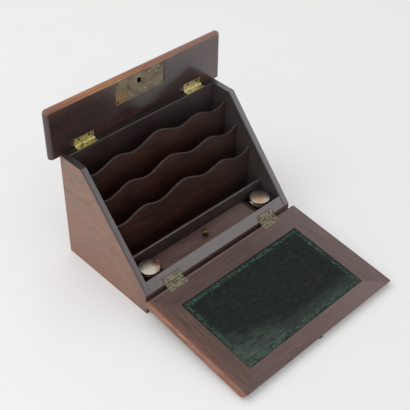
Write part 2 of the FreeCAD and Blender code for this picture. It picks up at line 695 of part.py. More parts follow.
def makeHinge(which, name, side):
    facts = hinges[which]
    prefix = "%s_hinge_%s_" % (which, name)
    way = facts["caseWay"]
    faces = ("leaf_low", "-pin_proud")
    frame = facts["caseFrame"]
    fixed = makeLeaf(
        prefix + "case_leaf", frame, side, which, facts["caseReach"], way, faces, (0, 2, 4), "hinge_pin"
    )
    faces = facts["leafFaces"]
    loose = "hinge_pin + hinge_play"
    moving = makeLeaf(prefix + "leaf", which, side, which, facts["leafReach"], -1, faces, (1, 3), loose)
    for x in screwPlaces(side, which):
        countersink(fixed, x, "%d * %s" % (way, facts["caseScrew"]), "leaf_low", True)
        countersink(moving, x, "-" + facts["leafScrew"], faces[0], facts["headUp"])
    pin = newBody(prefix + "pin", frame)
    rod(pin, "Additive", "hinge_pin", "x", hingeSpan(side, which), "0", "0")


def makeScrew(label, x, y, faceZ, inward):
    # A countersunk head as deep as a leaf, and a plain shank behind it.
    head = doc.addObject("Part::Cone", label + "_head")
    setSizes(head, Height="leaf_thick")
    wide, narrow = ("Radius1", "Radius2") if inward > 0 else ("Radius2", "Radius1")
    setSizes(head, **{wide: "screw_head", narrow: "screw_shank"})
    headLow = faceZ if inward > 0 else "%s - leaf_thick" % faceZ
    setPlace(head, x, y, headLow)
    shank = doc.addObject("Part::Cylinder", label + "_shank")
    setSizes(shank, Radius="screw_shank", Height="screw_depth")
    shankLow = "%s + leaf_thick" % headLow if inward > 0 else "%s - screw_depth" % headLow
    setPlace(shank, x, y, shankLow)
    joined = doc.addObject("Part::Fuse", label)
    joined.Base = head
    joined.Tool = shank
    return joined


def makeGroup(label, frame, members):
    group = keep(doc.addObject("Part::Compound", label), label)
    group.Links = members
    setPlace(group, "0", "0", "0", frame)


def makeHingeScrews(which):
    facts = hinges[which]
    fixed, moving = [], []
    inward = -1 if facts["headUp"] else 1
    for name, side in sides:
        for number, x in enumerate(screwPlaces(side, which)):
            label = "%s_screw_%s_%d" % (which, name, number)
            caseY = "%d * %s" % (facts["caseWay"], facts["caseScrew"])
            fixed.append(makeScrew(label + "_case", x, caseY, "-pin_proud", -1))
            moving.append(makeScrew(label, x, "-" + facts["leafScrew"], "0", inward))
    makeGroup(which + "_hinge_case_screws", facts["caseFrame"], fixed)
    makeGroup(which + "_hinge_leaf_screws", which, moving)


# The lid, its lock and the lock's bolt


def makeLid():
    body = newBody("lid_board", "lid")
    wide = ("-lid_width / 2", "lid_width / 2")
    add(body, wide, ("-lid_reach", "lid_behind"), ("0", "lid_thick"))
    frontY = -worth("lid_reach")
    backY = worth("lid_behind")
    upright = worth("lid_thick") / 2

    def isFrontCorner(middle, edge):
        return runsAlong(edge, "z") and abs(middle.y - frontY) < near

    def isOuterArris(middle, edge):
        return abs(middle.z - upright) > near and middle.y < backY - near

    roundEdges(body, "lid_corner", isFrontCorner)
    roundEdges(body, "lid_bull", isOuterArris)
    for name, side in sides:
        long = hingeSpan(side, "lid")
        cut(body, long, ("-lid_leaf_reach", "0"), ("0", "leaf_thick"))
        rod(body, "Subtractive", "notch_radius", "x", long, "0", "0")
        for x in screwPlaces(side, "lid"):
            bore(body, "screw_shank", lidPilot, x, "-lid_screw_reach")
    cut(body, plateWide, plateDeep, ("0", "plate_thick"))
    cut(body, worksWide, worksLong, ("0", "works_top"))
    for x, y in plateScrewPlaces():
        bore(body, "screw_shank", lidPilot, x, y)
        countersink(body, x, y, "0", False)
    bore(body, "key_hole", ("works_top", "lid_thick"), "key_place", "-key_reach")
    recess = ("lid_thick - escutcheon_thick", "lid_thick")
    bore(body, "escutcheon_radius", recess, "key_place", "-key_reach")


lidPilot = ("0", "leaf_thick + screw_depth")
plateWide = ("plate_shift - plate_half", "plate_shift + plate_half")
plateDeep = ("-plate_far", "-plate_near")
worksWide = ("works_left", "works_right")
worksLong = ("-works_far", "-works_near")


def plateScrewPlaces():
    columns = ("plate_shift - plate_half + plate_screw_in", "plate_shift + plate_half - plate_screw_in")
    rows = ("-plate_far + plate_screw_in", "-plate_near - plate_screw_in")
    return [(x, y) for x in columns for y in rows]


# Rivets of the lock's works, as shares of the plate's half width and of its height.
rivetPlaces = [
    (0.412, 0.83),
    (0.701, 0.723),
    (0.804, 0.901),
    (-0.151, 0.649),
    (0.46, 0.336),
    (-0.035, 0.264),
    (-0.344, 0.153),
    (-0.454, 0.331),
    (0.198, 0.205),
]


def rivetPlace(across, up):
    x = "plate_shift + %g * plate_half" % across
    y = "-plate_near - %g * (plate_far - plate_near)" % up
    return x, y


def makeLock():
    plate = newBody("lock_plate", "lid")
    add(plate, plateWide, plateDeep, ("0", "plate_thick"))
    through = ("0", "plate_thick")
    cut(plate, ("-hatch_half", "hatch_half"), ("-hatch_far", "-hatch_near"), through)
    for across, up in rivetPlaces:
        x, y = rivetPlace(across, up)
        bore(plate, "rivet_radius", through, x, y)
    for x, y in plateScrewPlaces():
        countersink(plate, x, y, "0", False)
    bore(plate, "key_pin", through, "key_place", "-key_reach")

    works = newBody("lock_case", "lid")
    add(works, worksWide, worksLong, ("plate_thick", "works_top"))
    insideWide = ("works_left + works_wall", "works_right - works_wall")
    insideLong = ("works_wall - works_far", "-works_near - works_wall")
    cut(works, insideWide, insideLong, ("plate_thick", "works_top - works_wall"))
    roof = ("works_top - works_wall", "works_top")
    bore(works, "key_hole", roof, "key_place", "-key_reach")

    pin = newBody("key_pin", "lid")
    rod(pin, "Additive", "key_pin", "z", ("0", "key_pin_long"), "key_place", "-key_reach")
    shield = newBody("key_escutcheon", "lid")
    thick = ("lid_thick - escutcheon_thick", "lid_thick")
    rod(shield, "Additive", "escutcheon_radius", "z", thick, "key_place", "-key_reach")
    bore(shield, "key_hole", thick, "key_place", "-key_reach")

    spring = newBody("lock_spring", "lid")
    wall = "works_wall - works_far"
    tipY = "-bolt_near - bolt_wide - spring_gap"
    corners = [
        ("spring_left", tipY),
        ("spring_left", tipY + " - spring_thick"),
        ("spring_bend", wall),
        ("spring_right", wall),
        ("spring_right", wall + " + spring_thick"),
        ("spring_bend", wall + " + spring_thick"),
    ]
    strip = outline(spring, "XY_Plane", corners)
    pad(spring, strip, "plate_thick + bolt_lift + spring_wide")
    clear = ("0", "plate_thick + bolt_lift")
    cut(spring, ("spring_left", "spring_right"), (wall + " - 1", tipY + " + 1"), clear)

    rivets = []
    for number, (across, up) in enumerate(rivetPlaces):
        rivet = doc.addObject("Part::Cylinder", "lock_rivet_%d" % number)
        setSizes(rivet, Radius="rivet_radius", Height="plate_thick + rivet_proud")
        x, y = rivetPlace(across, up)
        setPlace(rivet, x, y, "-rivet_proud")
        rivets.append(rivet)
    makeGroup("lock_rivets", "lid", rivets)
    screws = []
    for number, (x, y) in enumerate(plateScrewPlaces()):
        screws.append(makeScrew("lock_plate_screw_%d" % number, x, y, "0", 1))
    makeGroup("lock_plate_screws", "lid", screws)


def makeBolt():
    body = newBody("lock_bolt", "lid")
    low = "plate_thick + bolt_lift"
    thick = (low, low + " + bolt_thick")
    add(body, ("bolt_left", "bolt_left + bolt_long"), ("-bolt_near - bolt_wide", "-bolt_near"), thick)
    bore(body, "talon_radius", thick, "key_place", "-bolt_near")


# The fall: a board with a mitred border round the green inset, and the lock's stud


def makeFall():
    body = newBody("fall_board", "fall")
    corners = [
        ("-fall_edge", "0"),
        ("-fall_edge", "-fall_thick"),
        ("-under_reach", "-fall_thick"),
        ("-fall_reach", "0"),
    ]
    pad(body, outline(body, "YZ_Plane", corners), "fall_width", midplane=True)
    half = worth("fall_width") / 2
    upright = worth("fall_thick") / 2

    def isEndArris(middle, edge):
        atEnd = abs(abs(middle.x) - half) < near
        return runsAlong(edge, "y") and atEnd and abs(middle.z + upright) > near

    roundEdges(body, "fall_bull", isEndArris)
    cut(body, ("-band_half", "band_half"), ("-fall_reach", "0"), ("-band_thick", "0"))
    for name, side in sides:
        cut(body, hingeSpan(side, "fall"), ("-fall_leaf_reach", "0"), ("-leaf_thick", "0"))
        for x in screwPlaces(side, "fall"):
            pilot = ("-leaf_thick - screw_depth", "0")
            bore(body, "screw_shank", pilot, x, "-fall_screw_reach")
    bore(body, "stud_root", studRoot, "0", "stud_y", "bevel")


studRoot = ("bevel_up - stud_root_long", "bevel_up")


def makeBanding():
    # Four strips with mitred corners; each mitre runs from the border's corner to the inset's.
    left, right = "-band_half", "band_half"
    close, far = "-fall_edge", "-fall_reach"
    inLeft, inRight = "-leather_half", "leather_half"
    inNear, inFar = "-leather_near", "-leather_far"
    strips = {
        "banding_hinge_side": [(left, close), (right, close), (inRight, inNear), (inLeft, inNear)],
        "banding_free_side": [(left, far), (right, far), (inRight, inFar), (inLeft, inFar)],
        "banding_left": [(left, close), (inLeft, inNear), (inLeft, inFar), (left, far)],
        "banding_right": [(right, close), (inRight, inNear), (inRight, inFar), (right, far)],
    }
    for label, corners in strips.items():
        body = newBody(label, "fall")
        pad(body, outline(body, "XY_Plane", corners), "band_thick", turned=True)
        if label == "banding_hinge_side":
            for name, side in sides:
                leaf = ("-fall_leaf_reach", "0")
                cut(body, hingeSpan(side, "fall"), leaf, ("-leaf_thick", "0"))
        else:
            wide = ("-band_half", "band_half")
            beyond = ("bevel_up", "bevel_up + fall_thick")
            cut(body, wide, ("-fall_reach", "2 * fall_reach"), beyond, "bevel")


def makeLeather():
    body = newBody("writing_leather", "fall")
    wide = ("leather_gap - leather_half", "leather_half - leather_gap")
    long = ("leather_gap - leather_far", "-leather_near - leather_gap")
    add(body, wide, long, ("-band_thick", "leather_thick - band_thick"))


def makeStud():
    body = newBody("lock_stud", "closed_fall")
    wide = ("-stud_half", "stud_half")
    thick = ("stud_y - stud_thick / 2", "stud_y + stud_thick / 2")
    add(body, wide, thick, ("bevel_up", "bevel_up + stud_tall"))
    top = worth("bevel_up + stud_tall")

    def isTopArris(middle, edge):
        return runsAlong(edge, "x") and abs(middle.z - top) < near

    roundEdges(body, "stud_round", isTopArris)
    rod(body, "Additive", "stud_root", "z", studRoot, "0", "stud_y")
    window = ("bevel_up + notch_low", "bevel_up + notch_low + notch_tall")
    cut(body, ("stud_half - notch_deep", "stud_half"), thick, window)


def makeAll():
    for name, side in sides:
        makeSide(name, side)
    makeBack()
    makeFront()
    makeBase()
    makeDivider("divider_rear", "rear_y", "rear_top")
    makeDivider("divider_middle", "middle_y", "middle_top")
    makeDivider("divider_front", "low_y", "low_top")
    makePenPartition()
    for name, side in sides:
        makeWell(name, side)
    makeCover()
    for name, side in sides:
        x = "%d * cap_x" % side
        pinX = "%d * cap_pin_x" % side
        makeBottle(name, side, x)
        makeCollar(name, side, x, pinX)
        makeCap(name, side, x, pinX)
    for which in hinges:
        for name, side in sides:
            makeHinge(which, name, side)
        makeHingeScrews(which)
    makeLid()
    makeLock()
    makeBolt()
    makeFall()
    makeBanding()
    makeLeather()
    makeStud()


def checkAndWrite():
    doc.recompute()
    for thing in doc.Objects:
        if "Invalid" in thing.State or "Error" in thing.State:
            raise ValueError("%s is not built: %s" % (thing.Label, thing.State))
    for piece in pieces:
        if piece.Shape.isNull() or not piece.Shape.isValid():
            raise ValueError("%s has no valid shape" % piece.Label)
    os.makedirs("parts", exist_ok=True)
    for piece in pieces:
        piece.Shape.exportStep("parts/%s.step" % piece.Label)
    for alias in ("fall_swing", "fall_dip", "fall_pin_y", "fall_pin_z", "lid_pin_y", "lid_pin_z"):
        print(alias, round(worth(alias), 4))
    print(len(pieces), "pieces written")


makeAll()
checkAndWrite()
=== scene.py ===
import json
import math

import bpy
from mathutils import Matrix, Vector

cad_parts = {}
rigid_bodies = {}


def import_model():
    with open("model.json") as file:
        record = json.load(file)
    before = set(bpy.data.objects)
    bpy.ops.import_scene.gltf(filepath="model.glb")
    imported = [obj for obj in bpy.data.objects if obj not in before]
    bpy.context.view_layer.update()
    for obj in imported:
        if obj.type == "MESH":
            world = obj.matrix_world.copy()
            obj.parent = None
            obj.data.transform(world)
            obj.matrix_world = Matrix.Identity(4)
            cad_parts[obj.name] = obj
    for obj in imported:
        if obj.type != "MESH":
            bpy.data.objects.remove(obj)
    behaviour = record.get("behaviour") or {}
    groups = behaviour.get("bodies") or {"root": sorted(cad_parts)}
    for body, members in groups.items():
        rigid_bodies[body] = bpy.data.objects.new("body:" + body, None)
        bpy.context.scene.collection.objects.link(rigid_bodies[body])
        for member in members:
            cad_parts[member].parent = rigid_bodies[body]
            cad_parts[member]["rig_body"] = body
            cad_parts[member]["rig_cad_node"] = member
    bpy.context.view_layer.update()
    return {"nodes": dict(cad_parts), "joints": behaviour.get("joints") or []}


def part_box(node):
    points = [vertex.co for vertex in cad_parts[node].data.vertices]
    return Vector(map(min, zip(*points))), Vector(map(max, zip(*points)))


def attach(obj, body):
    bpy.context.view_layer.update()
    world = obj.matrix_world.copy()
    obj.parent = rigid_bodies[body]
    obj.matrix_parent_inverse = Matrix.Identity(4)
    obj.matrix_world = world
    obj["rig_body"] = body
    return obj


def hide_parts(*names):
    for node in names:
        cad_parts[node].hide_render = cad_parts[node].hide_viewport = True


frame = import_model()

# A writing box standing open on a pale table: its lid upright, its fall laid down.
# Metres, in the frame's own axes: +X to the right, +Y to the back, +Z up.

mm = 0.001
tiny = 0.01 * mm
joints = {joint["name"]: joint for joint in frame["joints"]}
nodes = frame["nodes"]


def hingeLine(name):
    return Vector(joints[name]["pos_m"])


# Places that several pieces share
leafLow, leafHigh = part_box("banding_free_side")
fallPin = hingeLine("fall_hinge")
lidPin = hingeLine("lid_hinge")
slopeFoot = Vector((0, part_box("side_left")[0].y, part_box("cover_ledge_left")[1].z + 3.5 * mm))


# Tools for shaping


def deselectAll():
    active = bpy.context.view_layer.objects.active
    if active and active.mode != "OBJECT":
        bpy.ops.object.mode_set(mode="OBJECT")
    bpy.ops.object.select_all(action="DESELECT")


def takeUp(piece):
    deselectAll()
    piece.select_set(True)
    bpy.context.view_layer.objects.active = piece
    return piece


def startEdit(piece, select="DESELECT"):
    takeUp(piece)
    bpy.ops.object.mode_set(mode="EDIT")
    bpy.ops.mesh.select_mode(type="FACE")
    bpy.ops.mesh.select_all(action=select)


def stopEdit():
    bpy.ops.object.mode_set(mode="OBJECT")


def pickFaces(piece, wanted):
    # Selects the faces whose normal and middle pass the test, and nothing else.
    startEdit(piece)
    stopEdit()
    for face in piece.data.polygons:
        face.select = wanted(face.normal, face.center)
    bpy.ops.object.mode_set(mode="EDIT")


def pickEdges(piece, wanted):
    # Selects the edges whose two ends pass the test, and nothing else.
    startEdit(piece)
    bpy.ops.mesh.select_mode(type="EDGE")
    stopEdit()
    spots = piece.data.vertices
    for edge in piece.data.edges:
        first, second = (spots[number].co for number in edge.vertices)
        edge.select = wanted(first, second)
    bpy.ops.object.mode_set(mode="EDIT")


def nameIt(name):
    piece = bpy.context.object
    piece.name = name
    piece.data.name = name
    return piece


def placeInMesh(piece):
    takeUp(piece)
    bpy.ops.object.transform_apply(location=True, rotation=True, scale=True)
    return piece


def fromNode(node, name):
    # A piece of its own in a node's shape: copied, merged, and its flat faces made whole.
    takeUp(nodes[node])
    bpy.ops.object.duplicate()
    piece = nameIt(name)
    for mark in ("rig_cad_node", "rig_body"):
        del piece[mark]
    piece.parent = None
    piece.data.materials.clear()
    bpy.ops.mesh.customdata_custom_splitnormals_clear()
    startEdit(piece, "SELECT")
    bpy.ops.mesh.remove_doubles(threshold=0.5 * tiny)
    bpy.ops.mesh.dissolve_limited(angle_limit=math.radians(0.4))
    stopEdit()
    return piece


def softenEdges(piece, width, segments=2, material=-1, angle=35):
    takeUp(piece)
    bevel = piece.modifiers.new("softEdge", "BEVEL")
    bevel.width = width
    bevel.segments = segments
    bevel.limit_method = "ANGLE"
    bevel.angle_limit = math.radians(angle)
    bevel.use_clamp_overlap = False
    bevel.material = material
    bpy.ops.object.modifier_apply(modifier="softEdge")


def dress(piece, *materials):
    piece.data.materials.clear()
    for material in materials:
        piece.data.materials.append(material)


def paintFaces(piece, index, wanted):
    for face in piece.data.polygons:
        if wanted(face.normal, face.center):
            face.material_index = index


def settle(piece, body, replaced, angle=40):
    # Shades the piece and joins it to its body in place of its nodes.
    takeUp(piece)
    bpy.ops.object.shade_smooth_by_angle(angle=math.radians(angle))
    weigh = piece.modifiers.new("evenNormals", "WEIGHTED_NORMAL")
    weigh.keep_sharp = True
    bpy.ops.object.modifier_apply(modifier="evenNormals")
    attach(piece, body)
    if replaced:
        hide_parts(*replaced)
    return piece


# Tools for finishes


def paint(red, green, blue):
    # A colour as it is read off a picture, 0 to 255, for a shader.
    shares = [channel / 255 for channel in (red, green, blue)]
    return tuple(((share + 0.055) / 1.055) ** 2.4 if share > 0.04 else share / 12.92 for share in shares) + (1,)


def addNode(tree, kind, inputs=None, **settings):
    node = tree.nodes.new("ShaderNode" + kind)
    for key, value in settings.items():
        setattr(node, key, value)
    for key, value in (inputs or {}).items():
        node.inputs[key].default_value = value
    return node


def wire(tree, source, target, key, output=0):
    tree.links.new(source.outputs[output], target.inputs[key])


def startMaterial(name, **inputs):
    material = bpy.data.materials.new(name)
    material.use_nodes = True
    tree = material.node_tree
    shader = tree.nodes["Principled BSDF"]
    for key, value in inputs.items():
        shader.inputs[key.replace("_", " ")].default_value = value
    return material, tree, shader


def spaced(tree, turn=(0, 0, 0), grain=(1, 1, 1), middle=(0, 0, 0)):
    # Object coordinates, turned to lie along the piece and measured in units of the pattern's size.
    coords = addNode(tree, "TexCoord")
    mapping = addNode(tree, "Mapping", vector_type="TEXTURE")
    mapping.inputs["Location"].default_value = middle
    mapping.inputs["Rotation"].default_value = [math.radians(angle) for angle in turn]
    mapping.inputs["Scale"].default_value = grain
    wire(tree, coords, mapping, "Vector", "Object")
    return mapping


def noise(tree, space, detail=3, roughness=0.5, distortion=0.0, scale=1):
    made = addNode(tree, "TexNoise", {"Scale": scale, "Detail": detail, "Roughness": roughness, "Distortion": distortion})
    wire(tree, space, made, "Vector")
    return made


def ramp(tree, source, stops):
    made = addNode(tree, "ValToRGB")
    elements = made.color_ramp.elements
    while len(elements) < len(stops):
        elements.new(0.5)
    for element, (place, colour) in zip(elements, stops):
        element.position = place
        element.color = colour
    wire(tree, source, made, "Fac")
    return made


def span(tree, source, fromLow, fromHigh, toLow, toHigh, output=0):
    made = addNode(tree, "MapRange", {1: fromLow, 2: fromHigh, 3: toLow, 4: toHigh})
    wire(tree, source, made, "Value", output)
    return made


def blend(tree, factor, first, second, kind="MIX", firstOut=0, secondOut=0):
    # Mixes two colours, each a node or a plain colour, by a node or a plain number.
    made = addNode(tree, "Mix", data_type="RGBA", blend_type=kind)
    for key, value, output in ((0, factor, 0), (6, first, firstOut), (7, second, secondOut)):
        if isinstance(value, (int, float, tuple)):
            made.inputs[key].default_value = value
        else:
            tree.links.new(value.outputs[2 if value.bl_idname == "ShaderNodeMix" else output], made.inputs[key])
    return made


def colourOut(node):
    return 2 if node.bl_idname == "ShaderNodeMix" else 0


def dent(tree, shader, source, depth, strength=1.0, before=None):
    bump = addNode(tree, "Bump", {"Strength": strength, "Distance": depth})
    wire(tree, source, bump, "Height")
    if before:
        wire(tree, before, bump, "Normal")
    wire(tree, bump, shader, "Normal")
    return bump


grey = paint(128, 128, 128)
black = (0, 0, 0, 1)
white = (1, 1, 1, 1)


def addDrift(tree, colour, turn, drift):
    # Turns a colour towards another along an axis, with a ragged edge.
    coords = addNode(tree, "TexCoord")
    axes = addNode(tree, "SeparateXYZ")
    wire(tree, coords, axes, 0, "Object")
    share = span(tree, axes, drift["start"], drift["end"], 0, drift.get("most", 1), drift["axis"])
    wobble = noise(tree, spaced(tree, turn, (0.05, 0.02, 0.02), (0.7, 0.1, 0.4)), 3)
    ragged = drift.get("ragged", 0.35)
    shifted = addNode(tree, "Math", {1: ragged}, operation="MULTIPLY_ADD")
    wire(tree, wobble, shifted, 0)
    wire(tree, share, shifted, 2)
    lowered = addNode(tree, "Math", {1: ragged / 2}, operation="SUBTRACT", use_clamp=True)
    wire(tree, shifted, lowered, 0)
    return blend(tree, lowered, colour, drift["to"])


def addLine(tree, colour, line):
    # Darkens a thin stripe at one place on the X axis, with soft sides.
    coords = addNode(tree, "TexCoord")
    axes = addNode(tree, "SeparateXYZ")
    wire(tree, coords, axes, 0, "Object")
    away = addNode(tree, "Math", {1: line["place"]}, operation="SUBTRACT")
    wire(tree, axes, away, 0, "X")
    size = addNode(tree, "Math", operation="ABSOLUTE")
    wire(tree, away, size, 0)
    return blend(tree, span(tree, size, line["half"] * 0.5, line["half"], line["most"], 0), colour, line["tone"])


def makeWood(name, look):
    # Streaks along the grain, broad patches of tone, fine dark pores, and dull or rubbed spots.
    material, tree, shader = startMaterial(name)
    shader.inputs["Specular IOR Level"].default_value = look.get("shine", 0.4)
    shader.inputs["Coat Weight"].default_value = look.get("polish", 0.0)
    shader.inputs["Coat Roughness"].default_value = look.get("polishRough", 0.14)
    turn = look.get("turn", (0, 0, 0))
    long, wide = look.get("grain", (0.09, 0.0035))
    streaks = noise(tree, spaced(tree, turn, (long, wide, wide)), 5, 0.62, look.get("wavy", 0.35))
    colour = ramp(tree, streaks, [(0.34, look["dark"]), (0.5, look["middle"]), (0.68, look["light"])])
    patches = noise(tree, spaced(tree, turn, (0.11, 0.035, 0.035), (0.3, 0.2, 0.1)), 3, 0.55, 0.6)
    patchTone = span(tree, patches, 0.35, 0.68, 0, look.get("patchy", 0.6))
    colour = blend(tree, patchTone, colour, look["patch"])
    if "blotch" in look:
        blotches = noise(tree, spaced(tree, turn, (0.022, 0.013, 0.013), (0.5, 0.6, 0.2)), 6, 0.72, 1.2)
        blotchTone = span(tree, blotches, 0.44, 0.62, 0, look.get("blotchy", 0.5))
        colour = blend(tree, blotchTone, colour, look["blotch"])
    pores = noise(tree, spaced(tree, turn, (0.007, 0.00045, 0.00045)), 2, 0.5)
    poreTone = span(tree, pores, 0.52, 0.68, 0, look.get("pores", 0.45))
    colour = blend(tree, poreTone, colour, look["dark"])
    for drift in look.get("drifts", ()):
        colour = addDrift(tree, colour, turn, drift)
    for line in look.get("lines", ()):
        colour = addLine(tree, colour, line)
    wire(tree, colour, shader, "Base Color", colourOut(colour))
    wear = noise(tree, spaced(tree, turn, (0.05, 0.02, 0.02), (0.9, 0.4, 0.2)), 4, 0.6)
    dullness = span(tree, wear, 0.3, 0.7, look["rough"][0], look["rough"][1])
    wire(tree, dullness, shader, "Roughness")
    relief = dent(tree, shader, pores, 0.04 * mm, -0.35)
    dent(tree, shader, streaks, 0.12 * mm, look.get("ripple", 0.35), relief)
    return material


def makeMetal(name, look):
    # Worn metal: a rubbed tone, dull tarnish in patches, and fine scratches.
    material, tree, shader = startMaterial(name, Metallic=look.get("metal", 1.0))
    size = look.get("patchSize", 0.006)
    patches = noise(tree, spaced(tree, (0, 0, 0), (size, size, size), (0.2, 0.5, 0.3)), 5, 0.62, 0.4)
    amount = look.get("tarnished", (0.42, 0.62))
    stain = span(tree, patches, amount[0], amount[1], 0, 1)
    fine = noise(tree, spaced(tree, (0, 0, 25), (0.004, 0.0003, 0.0008)), 3)
    tone = ramp(tree, fine, [(0.35, look["shade"]), (0.65, look["bright"])])
    colour = blend(tree, stain, tone, look["tarnish"])
    for spot in look.get("spots", ()):
        coords = addNode(tree, "TexCoord")
        away = addNode(tree, "VectorMath", {1: [share * mm for share in spot["middle"]]}, operation="DISTANCE")
        wire(tree, coords, away, 0, "Object")
        ragged = addNode(tree, "Math", {1: 0.01, 2: -0.005}, operation="MULTIPLY_ADD")
        wire(tree, patches, ragged, 0)
        nearby = addNode(tree, "Math", operation="ADD")
        wire(tree, away, nearby, 0, "Value")
        wire(tree, ragged, nearby, 1)
        share = span(tree, nearby, spot["reach"] * mm, spot["reach"] * 0.5 * mm, 0, spot.get("most", 0.8))
        colour = blend(tree, share, colour, spot["tone"])
    wire(tree, colour, shader, "Base Color", colourOut(colour))
    dullness = span(tree, stain, 0, 1, look["rough"][0], look["rough"][1])
    wire(tree, dullness, shader, "Roughness")
    relief = dent(tree, shader, fine, 0.02 * mm, 0.4)
    dent(tree, shader, patches, 0.06 * mm, 0.5, relief)
    return material
